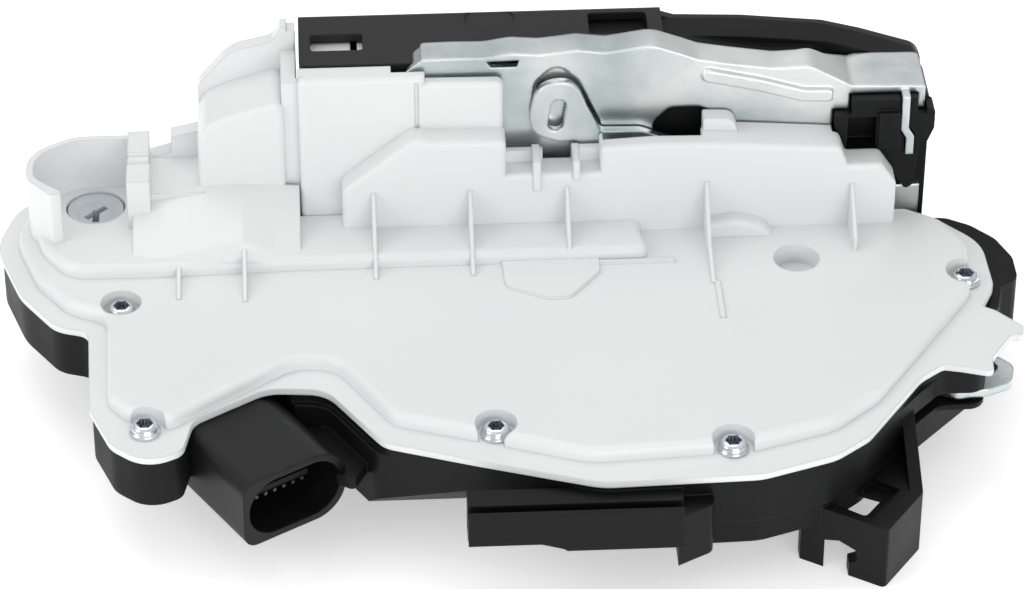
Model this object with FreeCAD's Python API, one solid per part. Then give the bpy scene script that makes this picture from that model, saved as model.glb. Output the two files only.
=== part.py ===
import FreeCAD, Part
import math
import os

V = FreeCAD.Vector

# Driving dimensions, in millimetres. Drawing axes: X along the lock, Y towards the
# latch face, Z out of the white cover. Z 0 is the joint between cover and housing.

# Faces and levels of the actuator housing
RIM_TOP = 1.5
PLATEAU_TOP = 4.5
SHELF_TOP = 7.2
HOUSING_FLOOR = -16.0
LOBE_FLOOR = -10.5
WALL = 2.0
HOUSING_WALL = 2.6
COVER_BACK = 21.4
LEDGE_FRONT = 15.0
LEDGE_BACK = 21.2
EDGE_ROUND = 1.6

# Latch unit
FACE_OUT = 46.0
FACE_PLATE = 2.0
FACE_LEFT = -42.0
FACE_TOP = 40.0
FLANGE_RIGHT = 33.0
FLANGE_FRONT = 26.0
SHEET = 1.6
BACK_FRONT = 24.0
FRAME_FLOOR = 2.2
FRAME_WALL = 2.4

# Striker slot, rotary catch and pawl
SLOT_X = 22.0
SLOT_WIDTH = 13.0
SLOT_END = 8.5
FORK_X = 40.0
FORK_Z = 7.0
FORK_R = 24.0
FORK_THICK = 5.0
FORK_FRONT_Y = 38.2
FORK_OPEN = 60.0
THROAT_WIDTH = 12.4
THROAT_DROP = 5.0
JACKET = 1.2
PAWL_SPACE = 7.0
PAWL_X = FORK_X + FORK_R + PAWL_SPACE
PAWL_Z = -10.0
FACE_RIGHT = PAWL_X + 17.0
FRAME_BOTTOM = FORK_Z - FORK_R - 4.0
FACE_BOTTOM = FRAME_BOTTOM - 1.0
PIN_R = 4.0
PAWL_PIN_R = 3.5
PIN_FIT = 0.06

# Fixing to the door
BOLT_Z = 26.0
BOLT_LEFT = -20.0
BOLT_PITCH = 96.0
BOLT_R = 3.4
NUT_R = 6.2
NUT_DEPTH = 9.0

# Clearances
GAP = 0.35

ORIGIN = V(BOLT_LEFT + BOLT_PITCH / 2, FACE_OUT, BOLT_Z)


def at(plane, a, b, level):
    """A point given by its two coordinates in a plane and its level across it."""
    if plane == "xy":
        return V(a, b, level)
    if plane == "xz":
        return V(a, level, b)
    return V(level, a, b)


def across(plane, depth):
    return at(plane, 0, 0, depth)


def outline(points, plane="xy", level=0.0):
    """A closed wire through corners (a, b) or (a, b, radius), rounded where a radius is given."""
    corners = [(p[0], p[1], p[2] if len(p) > 2 else 0.0) for p in points]
    edges = []
    ends = []
    for i, (a, b, radius) in enumerate(corners):
        here = at(plane, a, b, level)
        before = at(plane, corners[i - 1][0], corners[i - 1][1], level) - here
        after = corners[(i + 1) % len(corners)]
        after = at(plane, after[0], after[1], level) - here
        before.normalize()
        after.normalize()
        turn = math.pi - before.getAngle(after)
        if radius < 0.01 or turn < 0.02:
            ends.append((here, None, here))
            continue
        back = radius * math.tan(turn / 2)
        middle = before + after
        middle.normalize()
        out = radius / math.cos(turn / 2) - radius
        ends.append((here + before * back, here + middle * out, here + after * back))
    for i, (start, mid, stop) in enumerate(ends):
        if mid is not None:
            edges.append(Part.Arc(start, mid, stop).toShape())
        following = ends[(i + 1) % len(ends)][0]
        if stop.distanceToPoint(following) > 1e-4:
            edges.append(Part.makeLine(stop, following))
    return Part.Wire(edges)


def prism(points, low, high, plane="xy"):
    """A solid with that outline, from one level to the other across its plane."""
    face = Part.Face(outline(points, plane, low))
    return face.extrude(across(plane, high - low))


def inset(points, distance, low, high, plane="xy"):
    """The same prism with its outline moved inwards by a distance."""
    face = Part.Face(outline(points, plane, low))
    return face.makeOffset2D(-distance).extrude(across(plane, high - low))


def block(x0, x1, y0, y1, z0, z1):
    return Part.makeBox(x1 - x0, y1 - y0, z1 - z0, V(x0, y0, z0))


def rod(x, y, z, radius, length, axis="z"):
    """A cylinder from a point, along a positive axis."""
    direction = {"x": V(1, 0, 0), "y": V(0, 1, 0), "z": V(0, 0, 1)}[axis]
    return Part.makeCylinder(radius, length, V(x, y, z), direction)


def join(shapes):
    first = shapes[0]
    if len(shapes) == 1:
        return first
    return first.multiFuse(shapes[1:]).removeSplitter()


def soften(solid, radius, level, plane="xy"):
    """Round the edges that lie at one level across a plane."""
    normal = across(plane, 1.0)
    chosen = []
    for edge in solid.Edges:
        box = edge.BoundBox
        low = V(box.XMin, box.YMin, box.ZMin).dot(normal)
        high = V(box.XMax, box.YMax, box.ZMax).dot(normal)
        if abs(low - level) < 1e-3 and abs(high - level) < 1e-3:
            chosen.append(edge)
    return solid.makeFillet(radius, chosen)


def turned(shape, x, y, z, angle, axis):
    copy = shape.copy()
    copy.rotate(V(x, y, z), axis, angle)
    return copy


def save(node, shape):
    moved = shape.copy()
    moved.translate(-ORIGIN)
    moved.exportStep("parts/" + node + ".step")
    print(node, len(moved.Solids), round(moved.Volume), moved.isValid())


os.makedirs("parts", exist_ok=True)

# White cover: the rim outline that it shares with the housing, then its raised forms
RIM = [
    (80, COVER_BACK, 2), (88.5, COVER_BACK, 5), (97.8, 11, 12), (98.2, -4, 6), (95, -11, 3),
    (94, -30, 4), (84.5, -30, 4), (79.5, -34, 8), (67, -52.4, 8), (60, -58, 10),
    (45, -63.2, 12), (14, -64.2, 14), (-10, -56, 20), (-27.5, -49.6, 6), (-38.5, -32, 7),
    (-50, -31, 8), (-64.5, -40.5, 5), (-66.5, -50, 3.5), (-73.5, -53.6, 7), (-80.5, -47.5, 7),
    (-84.9, -36, 6), (-85.8, -10.4, 3), (-92.5, -8.2, 7), (-100, 3, 16), (-105.6, 20, 14),
    (-100.5, 37, 12), (-86, 39, 10), (-64, 38, 4), (-62, 43, 2), (-42.6, 43, 0.5),
    (-42.6, COVER_BACK, 0.5),
]
PLATEAU = [
    (83, COVER_BACK - 0.4, 2), (89.5, 17, 6), (94.2, 8, 9), (92.8, -8, 8), (70, -42, 8),
    (60.5, -50.6, 10), (44, -56.2, 14), (12, -58.2, 14), (-10, -50, 20), (-25.5, -44.6, 6),
    (-36.5, -26, 7), (-44.5, -25.2, 7), (-62.2, -38.2, 6), (-68.8, -43.6, 3), (-77.4, -40.6, 4),
    (-81.2, -35.5, 3), (-82, -8.4, 4), (-90, -4.4, 6), (-96.6, 5, 16), (-101.4, 20, 12),
    (-97.5, 33, 10), (-86, 36, 8), (-62, 36, 3), (-60, 41, 2), (-44, 41, 0.5),
    (-42.6, COVER_BACK - 0.4, 0.5),
]
SHELF = [
    (28, 21, 1), (27, 12, 2), (28.4, 4.8, 1.8), (-2, 4.6, 14), (-43, 4.3, 14), (-72, 3.4, 8),
    (-90, 3.6, 8), (-95.5, 12, 8), (-98.6, 24, 8), (-96, 32, 6), (-86, 35, 6), (-60, 35, 2), (-43, 21, 1),
]
TAB = [
    (92, -9), (97.4, -12.6, 2), (102.2, -18.2, 1.2), (101.6, -21.4, 1), (99.4, -20.8, 1.5),
    (94.4, -28.4, 1.5), (94.2, -33, 1.2), (88, -31, 1), (80, -29),
]
LEDGE = [
    (80, 0.5), (80, 14.0, 1.5), (76.8, 19.0, 1.5), (69.8, 19.0, 1), (68.2, 23.4, 1.5), (51.5, 24.7, 12),
    (40, 25.4, 6), (30, 25.6, 8), (18.9, 25.0, 1.2), (18.9, 19.0), (-0.4, 19.0), (-0.4, 27.2, 1.2),
    (-15.9, 27.5, 4), (-18.8, 28.4, 3), (-22.4, 25.6, 4), (-34, 16.2, 3), (-34, 0.5),
]
TALL_BOX = [
    (-0.7, 0.5), (-0.7, 38.0, 1.5), (-16.6, 38.2), (-16.6, 39.7), (-23.4, 39.7), (-42.4, 39.7, 1.5),
    (-42.4, 0.5),
]
LEFT_BOX = [
    (-45.4, 0.5), (-45.4, 34.2, 2), (-56, 31.0, 5), (-61.6, 28.6, 4), (-63.2, 25, 3.5), (-63.2, 0.5),
]
SCREWS = [(-79.2, -4.8), (-73.8, -43.9), (-5.6, -48.2), (40, -55.2), (92.6, -2.4)]
SCREW_HEAD_R = 3.05
SCREW_HEAD = 2.3
SCREW_R = 1.9
SCREW_LENGTH = 9.0
SCALLOP_R = 4.1
SCALLOP_WALL = 1.3
SIGHT_X = 58.5
SIGHT_Y = 3.5
SIGHT_R = 4.7
SIGHT_FLOOR = 0.2
GUSSETS = [
    (-67.6, 5.0, -4.6, 6.9), (-54.2, 7.2, -6.0, 10.2), (-27.6, LEDGE_FRONT, 0.2, 15.8),
    (-7.8, LEDGE_FRONT, 0.6, 15.9), (12.1, LEDGE_FRONT, 4.4, 16.1), (40.8, LEDGE_FRONT, -4.4, 16.3),
    (70.8, LEDGE_FRONT, 5.6, 14.8),
]
GUSSET = 0.9
KEY_X = -85.0
KEY_Y = 25.5
KEY_R = 5.8
KEY_TOP = 6.6
GUARD_TOP = 19.2
GUARD = [
    (-90.4, 13.4, 0.6), (-93.2, 12.8, 0.6), (-98.4, 19, 6), (-98.4, 28, 9), (-89, 33.8, 9), (-73.4, 33.8, 0.8),
    (-73.4, 24.0), (-77.8, 24.0), (-77.8, 32.5, 0.6), (-88.6, 32.5, 8), (-97.0, 27.4, 8), (-97.0, 19.4, 5),
]


def end_walls():
    """The stepped upstand behind the shelf, and the thin wall that laps the face plate's end."""
    ramp = [(-74, 0.5), (-74, 14.4), (-69, 16), (-69, 19.6), (-63, 21), (-60, 21), (-60, 0.5)]
    wall = [
        (-60.5, 0.5), (-63, 22, 2), (-63, 30, 3), (-56, 38, 9), (-47.4, 40, 3), (-45.6, 43.6),
        (-44.4, 43.6), (-44.4, 42.6), (-42.7, 42.6), (-42.7, 0.5),
    ]
    return [prism(ramp, 32, 35.6, "xz"), prism(wall, 35.4, 38.6, "xz"),
            block(-45.8, -42.7, 23.0, 42.6, 0.5, 38), block(-45.8, -41.4, 23.0, 24.6, 0.5, 38)]


def ramp_block():
    """The sloping shoulder between the guard and the left box."""
    side = [(20, 0.5), (20, 13.8), (33.5, 14.8), (33.5, 0.5)]
    return prism(side, -74, -62, "yz")


def hump():
    """The roof-shaped rise of the shelf in front of the left box."""
    wires = []
    for y, ridge in ((4.4, (4.6, 5.4, 6.4, 7.8, 6.0, 4.6)), (6.2, (6.6, 7.6, 9.0, 11.0, 8.2, 6.6)),
                     (22.0, (11.8, 13.2, 14.2, 14.4, 14.0, 13.6))):
        line = list(zip((-77.0, -70.0, -63.0, -54.5, -48.0, -42.7), ridge))
        wires.append(outline([(-77.0, 3.0)] + line + [(-42.7, 3.0)], "xz", y))
    return Part.makeLoft(wires, True, True)


def hollow_box(points, front, back, thick):
    """A moulded box standing on the cover, open behind and below."""
    shell = soften(prism(points, front, back, "xz"), 1.1, front, "xz")
    return shell, inset(points, thick, front + thick, back + 1, "xz")


def front_cover():
    solid = prism(RIM, 0, RIM_TOP)
    solid = solid.fuse(soften(prism(PLATEAU, 0, PLATEAU_TOP), EDGE_ROUND, PLATEAU_TOP))
    shelf = soften(prism(SHELF, 0, SHELF_TOP), EDGE_ROUND, SHELF_TOP)
    ledge, ledge_room = hollow_box(LEDGE, LEDGE_FRONT, LEDGE_BACK, WALL)
    tall, tall_room = hollow_box(TALL_BOX, 20.6, 23.2, 1.2)
    left, left_room = hollow_box(LEFT_BOX, 21.6, 36, WALL)
    roof = block(-42.4, -23.4, 20.6 + 2, 25.6, 38.2, 39.7)
    tab = prism(TAB, 0, RIM_TOP)
    guard = prism(GUARD, 1, GUARD_TOP)
    posts = [block(-78, -73.2, 17.4, 26.2, 1, 18.6), block(-77.8, -73.4, 26, 33.6, 1, 20.2)]
    sight = rod(SIGHT_X, SIGHT_Y, SIGHT_FLOOR - 1.6, SIGHT_R + 1.4, PLATEAU_TOP - SIGHT_FLOOR + 1.6)
    lap = prism([(40.2, 23.9), (44.6, 22.2), (67.0, 21.4), (67.0, 23.5), (51.5, 24.7, 12), (47.4, 25.0), (46.4, 28.0, 2.4),
                 (40.2, 28.3, 0.5)], LEDGE_BACK - 1, 23.6, "xz")
    solid = join([solid, shelf, ledge, tall, left, roof, tab, guard, ramp_block(), hump(),
                  sight, lap] + posts + end_walls() + gussets() + details())
    rooms = [
        inset(PLATEAU, WALL, -1, PLATEAU_TOP - WALL),
        inset(SHELF, WALL, -1, SHELF_TOP - WALL),
        ledge_room, tall_room, left_room,
        rod(SIGHT_X, SIGHT_Y, SIGHT_FLOOR, SIGHT_R, 30),
        rod(KEY_X, KEY_Y, -3, KEY_R + GAP, 40),
        block(19.6, 39.8, 18.4, 26, 21, 30),
        block(-18.7, -17.9, 20, 21.0, 27.8, 38.5),
    ]
    for x, y in SCREWS:
        rooms.append(rod(x, y, RIM_TOP, SCALLOP_R, 12))
        rooms.append(rod(x, y, -3, SCREW_R + 0.3, 12))
    for room in rooms:
        solid = solid.cut(room)
    collars = []
    under = inset(PLATEAU, 0.5, 0, PLATEAU_TOP - 0.6)
    for x, y in SCREWS:
        collar = rod(x, y, 0, SCALLOP_R + SCALLOP_WALL, PLATEAU_TOP).common(under)
        collar = join([collar, rod(x, y, 0, SCALLOP_R - 0.2, RIM_TOP)])
        collar = collar.cut(rod(x, y, RIM_TOP, SCALLOP_R, 12)).cut(rod(x, y, -1, SCREW_R + 0.3, 4))
        collars.append(collar)
    cup = rod(SIGHT_X, SIGHT_Y, SIGHT_FLOOR - 1.6, SIGHT_R + 1.4, 4).cut(rod(SIGHT_X, SIGHT_Y, SIGHT_FLOOR, SIGHT_R, 6))
    tongue = block(-41.0, -28.2, 21.2, 39.4, 36.2, 37.5).cut(block(-31.4, -30.0, 34.8, 41, 36, 38))
    return join([solid, cup, tongue] + collars + clip_walls())


def clip_walls():
    """The low wall and the two posts in the ledge's notch, that a cable clip snaps between."""
    walls = [block(-0.6, 7.3, 19.8, LEDGE_BACK, 17.5, 21.9), block(13.2, 19.2, 19.8, LEDGE_BACK, 17.5, 22.3)]
    posts = [block(5.1, 6.7, LEDGE_FRONT - 0.5, LEDGE_BACK, 15.4, 22.5),
             block(13.3, 14.7, LEDGE_FRONT - 0.5, LEDGE_BACK, 17.8, 22.5)]
    return walls + posts


def gussets():
    """Thin triangular webs that stiffen the ledge against the plateau."""
    webs = []
    for x, back, front, top in GUSSETS:
        side = [(back + 0.6, 1), (back + 0.6, top), (back - 0.2, top)]
        if back > 10:
            side.append((5.6, SHELF_TOP + 0.2))
        side += [(front, PLATEAU_TOP + 0.3), (front, 1)]
        webs.append(prism(side, x - GUSSET / 2, x + GUSSET / 2, "yz"))
    return webs


def details():
    """Low pad, round boss, clip tabs by the notch and the faint ribs on the plateau."""
    pad = prism([(-2, 11, 1), (-1.6, -4, 3), (7, -8.4, 2), (11.5, -8.2, 3), (18, 0.4, 2), (18, 11, 1)],
                1, PLATEAU_TOP + 0.7)
    dome = [(34.6, 3.6), (36.5, 5.8, 2), (40.3, 7.6, 4), (47.5, 8.5, 5), (52.6, 6.8, 4), (55.2, 3.6)]
    boss = soften(prism(dome, 11.6, LEDGE_FRONT + 0.9, "xz"), 1.2, 11.6, "xz")
    line = block(17.4, 33.6, 3.2, 4.2, 3, PLATEAU_TOP + 0.6)
    mark = block(41, 42.2, -16.5, -4, 3, PLATEAU_TOP + 0.35)
    return [pad, boss, line, mark]

# Black housing under the cover
DEEP = [
    (80, COVER_BACK, 2), (88, 20, 5), (96.6, 10, 12), (96.8, -4, 6), (93, -20, 8), (79, -35, 8),
    (66, -51, 10), (59, -57, 10), (45, -62, 12), (14, -63, 14), (-10, -55, 20), (-29, -48.5, 4),
    (-38.5, -33, 6), (-50, -31.5, 8), (-60, -36, 8), (-72, -39, 6), (-79.4, -32, 6),
    (-84, -22, 6), (-84.6, -8, 4), (-72, 20, 8), (-60, 31, 4), (-44, 31, 1), (-44, COVER_BACK, 1),
]
REAR_LOBE = [
    (82, 10), (82, 20.6), (88.2, 20.8), (89.6, 24.2, 1), (92.4, 23.8, 3), (97, 21, 5), (101.5, 16, 6), (104.2, 9, 6),
    (104.2, 1.6, 3), (100.4, -0.9, 1.2), (98.6, -9, 2), (92, -10),
]
LOBE_TOP = -1.0
LOBE_DEPTH = 12.0
RAIL_X0 = -12.0
RAIL_X1 = 29.5
RAIL_BACK = -62.0
RAIL_DEPTH = 9.0
RAIL_FRONT = RAIL_BACK - RAIL_DEPTH
RAIL_TOP = -1.2
RAIL_LOW = -9.6
RAIL_STEP = 1.8
RAIL_STEP_X = 8.0
RAIL_GROOVE = 2.2
STOP_X = 35.6
STOP_LOW = -15.0
CHIN_C = -61.8
CHIN_X0 = -40.0
CHIN_X1 = -10.0
CHIN_WALL = 2.8
BRACKET_TOP = -12.0
BRACKET_LOW = -26.4
BRACKET = [(50.5, -53), (69.6, -65.2, 1), (78, -53.6, 1), (78, -40), (50.5, -40)]
BRACKET_WALL = 2.6
CONNECTOR_X = -45.0
CONNECTOR_Y = -53.7
CONNECTOR_ANGLE = 32.0
CONNECTOR_W = 23.5
CONNECTOR_H = 15.5
CONNECTOR_TOP = -0.2
CONNECTOR_DEPTH = 14.5
CONNECTOR_LENGTH = 24.0
SOCKET_W = 20.9
SOCKET_H = 12.7
SEAL_W = 1.0
SEAL_DEEP = 1.2
BOSS_R = 3.6
POST_R = 2.0
LATCH_SCREWS = [(-28, -8), (6, -8), (47, -10.2)]
LATCH_SCREW_R = 1.9
LUG = 4.6


def connector_local(shape):
    """Turn a shape drawn with its mouth at the origin, opening along -Y, to the connector's place."""
    shape.translate(V(CONNECTOR_X, CONNECTOR_Y, CONNECTOR_TOP - CONNECTOR_H / 2))
    shape.rotate(V(CONNECTOR_X, CONNECTOR_Y, 0), V(0, 0, 1), CONNECTOR_ANGLE)
    return shape


def connector_shell():
    half_w = CONNECTOR_W / 2
    half_h = CONNECTOR_H / 2
    outer = [(-half_w, -half_h, 3), (half_w, -half_h, 7), (half_w, half_h, 7), (-half_w, half_h, 3)]
    shroud = prism(outer, 0, CONNECTOR_LENGTH, "xz")
    side = SOCKET_W / 2
    tall = SOCKET_H / 2
    socket = [(-side, -tall, tall - 0.1), (side, -tall, tall - 0.1), (side, tall, tall - 0.1),
              (-side, tall, tall - 0.1)]
    shroud = shroud.cut(prism(socket, -1, CONNECTOR_DEPTH, "xz"))
    key = block(-6.5, 6.5, CONNECTOR_DEPTH - 9, CONNECTOR_DEPTH, -0.7, 0.7)
    return connector_local(join([shroud, key])).cut(connector_pins())


def connector_pins():
    pins = []
    for row in (-3.2, 3.2):
        for i in range(7):
            x = (i - 3) * 2.1
            pins.append(block(x - 0.32, x + 0.32, CONNECTOR_DEPTH - 7, CONNECTOR_LENGTH + 3,
                              row - 0.32, row + 0.32))
    return connector_local(Part.makeCompound(pins))


def connector_seal():
    """The flat rubber ring at the bottom of the socket."""
    side = SOCKET_W / 2 - 0.1
    tall = SOCKET_H / 2 - 0.1
    ring = [(-side, -tall, tall - 0.1), (side, -tall, tall - 0.1), (side, tall, tall - 0.1),
            (-side, tall, tall - 0.1)]
    solid = prism(ring, CONNECTOR_DEPTH - 1.8, CONNECTOR_DEPTH, "xz")
    hole = inset(ring, 1.4, CONNECTOR_DEPTH - 3, CONNECTOR_DEPTH + 1, "xz")
    return connector_local(solid.cut(hole))


def connector_room():
    """The space that the shroud takes out of the housing."""
    half_w = CONNECTOR_W / 2
    half_h = CONNECTOR_H / 2
    outer = [(-half_w, -half_h, 3), (half_w, -half_h, 7), (half_w, half_h + 3, 1), (-half_w, half_h + 3, 1)]
    return connector_local(prism(outer, 0, CONNECTOR_LENGTH, "xz"))


def pin_room():
    return connector_local(block(-9, 9, CONNECTOR_LENGTH - 1, CONNECTOR_LENGTH + 8, -5.5, 6))


def rail():
    """The channel along the front edge, that a clip of the cable carrier slides into."""
    side = [
        (RAIL_BACK, RAIL_TOP), (RAIL_FRONT + 4.2, RAIL_TOP), (RAIL_FRONT + 4.2, RAIL_TOP - 5),
        (RAIL_FRONT + 4.2 - RAIL_GROOVE, RAIL_TOP - 5), (RAIL_FRONT + 4.2 - RAIL_GROOVE, RAIL_TOP),
        (RAIL_FRONT, RAIL_TOP), (RAIL_FRONT, RAIL_LOW), (RAIL_BACK, RAIL_LOW),
    ]
    channel = prism(side, RAIL_X0, RAIL_X1, "yz")
    step = [(RAIL_X0 - 1, RAIL_LOW - 1), (RAIL_X0 - 1, RAIL_LOW + RAIL_STEP), (RAIL_STEP_X - 6, RAIL_LOW + RAIL_STEP, 3),
            (RAIL_STEP_X, RAIL_LOW, 3), (RAIL_STEP_X, RAIL_LOW - 1)]
    channel = channel.cut(prism(step, RAIL_FRONT - 1, RAIL_FRONT + 4.2, "xz"))
    stop = prism([(RAIL_X1 - 1, RAIL_BACK), (RAIL_X1 - 1, RAIL_FRONT + 1), (STOP_X, RAIL_FRONT + 5, 2), (STOP_X, RAIL_BACK + 2)],
                 STOP_LOW, RAIL_TOP - 2)
    return [channel, stop]


def chin(by):
    """The slanted room under the housing's front, between the plug and the rail, and as a plate above it."""
    rise = CHIN_C + by
    side = [(-62, rise + 62), (-62, HOUSING_FLOOR - 4), (rise - HOUSING_FLOOR + 4, HOUSING_FLOOR - 4)]
    return prism(side, CHIN_X0, CHIN_X1 + by / 2, "yz")


def bracket():
    """The clip frame at the lower right, with its window and its two legs."""
    solid = prism(BRACKET, BRACKET_LOW, BRACKET_TOP)
    solid = solid.cut(inset(BRACKET, BRACKET_WALL, BRACKET_LOW - 1, BRACKET_TOP - 3))
    window = [(54.6, -54.0, 0.8), (66.8, -61.4, 0.8), (73.6, -52.4, 0.8), (67.5, -47.6, 0.8)]
    solid = solid.cut(prism(window, BRACKET_TOP - 1.6, BRACKET_TOP + 1))
    solid = solid.cut(prism([(60.5, -54.4, 1), (66.2, -58.6, 1), (70.4, -53, 1), (64.6, -50, 1)],
                            BRACKET_TOP - 5, BRACKET_TOP + 1))
    notch = [(58.4, -27), (58.4, -19.6), (61, -18.6), (64.6, -19.8), (64.6, -22, 1), (63, -23.4),
             (63, -27)]
    solid = solid.cut(prism(notch, -75, -50, "xz"))
    solid = solid.cut(block(49, 54.0, -75, -30, -27, -18))
    solid = solid.cut(block(49, 80, -49, -30, -27, -17))
    web = prism([(-27, -1), (-53.4, BRACKET_TOP), (-53.4, -16), (-27, -15.8)], 75.4, 78, "yz")
    return [solid, web]


def rear_housing():
    shallow = inset(RIM, 0.5, LOBE_FLOOR, 0)
    deep = prism(DEEP, HOUSING_FLOOR, -2)
    lobe = prism(REAR_LOBE, LOBE_TOP - LOBE_DEPTH, LOBE_TOP)
    arm = prism([(-40, -31), (-31, -35.4, 2), (-28.6, -47, 3), (-9, -47, 3), (-9, -40)], -14, -1)
    lugs = [block(x - LUG, x + LUG, 20, BACK_FRONT, z - LUG, z + LUG) for x, z in LATCH_SCREWS]
    web = prism([(-47, -34), (-36, -33), (-29, -42), (-33.5, -51, 1), (-38, -48)], -9, -6.5)
    solid = join([shallow, deep, lobe, arm, web] + rail() + bracket() + lugs)
    solid = solid.cut(inset(RIM, 0.5 + HOUSING_WALL, LOBE_FLOOR + WALL, 1))
    solid = solid.cut(inset(DEEP, HOUSING_WALL, HOUSING_FLOOR + WALL, 1))
    bosses = []
    for x, y in SCREWS:
        foot = LOBE_FLOOR + 0.5 if x < -50 else HOUSING_FLOOR + 0.5
        bosses.append(rod(x, y, foot, BOSS_R, -foot))
    solid = join([solid] + bosses + posts())
    for x, y in SCREWS:
        solid = solid.cut(rod(x, y, RIM_TOP - SCREW_LENGTH, SCREW_R, SCREW_LENGTH))
    for x, z in LATCH_SCREWS:
        solid = solid.cut(rod(x, 10, z, LATCH_SCREW_R, 20, "y"))
    groove = inset(RIM, 1.4, -SEAL_DEEP, 1).cut(inset(RIM, 1.4 + SEAL_W, -SEAL_DEEP - 1, 2))
    for x, y in SCREWS:
        groove = groove.cut(rod(x, y, -5, SCREW_R + 0.7, 10))
    solid = solid.cut(groove)
    solid = join([solid, deep.common(chin(CHIN_WALL))]).cut(chin(0))
    solid = solid.cut(connector_room()).cut(pin_room())
    solid = solid.cut(hook_slot())
    solid = solid.cut(rod(KEY_X, KEY_Y, LOBE_FLOOR - 1, KEY_JOURNAL + PIN_FIT, 10))
    return solid


# Lock drives: a motor, its worm, a wheel with a pinion, and a toothed lever each
MODULE = 1.0
WORM_PITCH_R = 3.2
WORM_TIP_R = 4.0
WORM_ROOT_R = 2.2
WORM_LENGTH = 16.0
WHEEL_TEETH = 24
WHEEL_THICK = 4.0
PINION_TEETH = 12
SECTOR_TEETH = 36
DRIVE_Z = -8.0
PINION_TOP = -3.0
LEVER_Z = -5.4
LEVER_THICK = 2.0
MOTOR_LENGTH = 25.0
MOTOR_W = 16.0
MOTOR_H = 12.0
MOTOR_NECK = 2.8
SHAFT_R = 1.0
LOCK_WORM = (3.5, -36.0)
SAFE_WORM = (-40.5, 3.0)
LOCK_PIVOT_ANGLE = 60.0
SAFE_PIVOT_ANGLE = 0.0
CENTRES = WORM_PITCH_R + MODULE * WHEEL_TEETH / 2
REACH = MODULE * (PINION_TEETH + SECTOR_TEETH) / 2

# Key cylinder follower and its link
KEY_JOURNAL = 3.0
KEY_ARM = 9.5
KEY_PIN_R = 1.5
KEY_SLOT_PLAY = 0.6
LINK_Z = -4.6
LINK_THICK = 2.2
LINK_RIGHT = -8.0

# Inside release lever
INNER_X = 66.0
INNER_Y = -8.0
INNER_Z = -8.8
INNER_THICK = 1.8
INNER_SWING = 16.0

# Outside release lever
OUTER_X = 58.0
OUTER_Z = 8.0
OUTER_FRONT = 21.8
OUTER_THICK = 1.8
OUTER_PIN_R = 3.0


def polar(x, y, radius, degrees):
    a = math.radians(degrees)
    return x + radius * math.cos(a), y + radius * math.sin(a)


def tooth(x, y, pitch_r, degrees, low, high):
    """One straight-sided tooth standing out of its root circle."""
    radii = (pitch_r - 1.6, pitch_r, pitch_r + 0.75)
    halves = (0.88, 0.5, 0.26)
    a = math.radians(degrees)
    out = V(math.cos(a), math.sin(a), 0)
    side = V(-math.sin(a), math.cos(a), 0)
    left = [V(x, y, low) + out * r + side * h for r, h in zip(radii, halves)]
    right = [V(x, y, low) + out * r - side * h for r, h in zip(radii, halves)]
    face = Part.Face(Part.makePolygon(left + right[::-1] + [left[0]]))
    return face.extrude(V(0, 0, high - low))


def teeth(x, y, total, first, count, low, high):
    pitch_r = MODULE * total / 2
    step = 360.0 / total
    return [tooth(x, y, pitch_r, first + i * step, low, high) for i in range(count)]


def worm(x, y):
    """A steel worm along X from its motor's end, one start."""
    pitch = math.pi * MODULE
    turns = WORM_LENGTH / pitch
    helix = Part.makeHelix(pitch, WORM_LENGTH, WORM_ROOT_R)
    flank = Part.makePolygon([V(WORM_ROOT_R - 0.15, 0, -0.72), V(WORM_TIP_R, 0, -0.36),
                              V(WORM_TIP_R, 0, 0.36), V(WORM_ROOT_R - 0.15, 0, 0.72),
                              V(WORM_ROOT_R - 0.15, 0, -0.72)])
    thread = Part.Wire(helix).makePipeShell([flank], True, True)
    core = Part.makeCylinder(WORM_ROOT_R, WORM_LENGTH)
    solid = core.fuse(thread).common(Part.makeCylinder(WORM_TIP_R + 1, WORM_LENGTH))
    solid = solid.cut(rod(0, 0, -1, SHAFT_R, WORM_LENGTH + 2))
    solid.rotate(V(0, 0, 0), V(0, 1, 0), 90)
    solid.translate(V(x, y, DRIVE_Z))
    return solid


def motor(x, y, way):
    """A flat-sided can motor lying along X, its shaft pointing the given way."""
    half_w = MOTOR_W / 2
    half_h = MOTOR_H / 2
    face = [(-half_w, -half_h, 3.5), (half_w, -half_h, 3.5), (half_w, half_h, 3.5), (-half_w, half_h, 3.5)]
    can = prism(face, 0, MOTOR_LENGTH - 4, "yz")
    can = can.fuse(rod(-MOTOR_NECK, 0, 0, 3.1, MOTOR_NECK, "x"))
    bell = inset(face, 0.6, MOTOR_LENGTH - 4, MOTOR_LENGTH, "yz")
    bell = bell.fuse(rod(MOTOR_LENGTH, 0, 0, 2.2, 1.2, "x"))
    tabs = [block(MOTOR_LENGTH - 3, MOTOR_LENGTH + 2, side - 0.2, side + 0.2, 2, 4.4) for side in (-5, 5)]
    shaft = rod(-MOTOR_NECK - WORM_LENGTH - 1, 0, 0, SHAFT_R, WORM_LENGTH + 0.7, "x")
    placed = []
    for shape in (can, bell.fuse(tabs), shaft):
        if way > 0:
            shape.rotate(V(0, 0, 0), V(0, 0, 1), 180)
        shape.translate(V(x, y, DRIVE_Z))
        placed.append(shape)
    return placed


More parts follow.
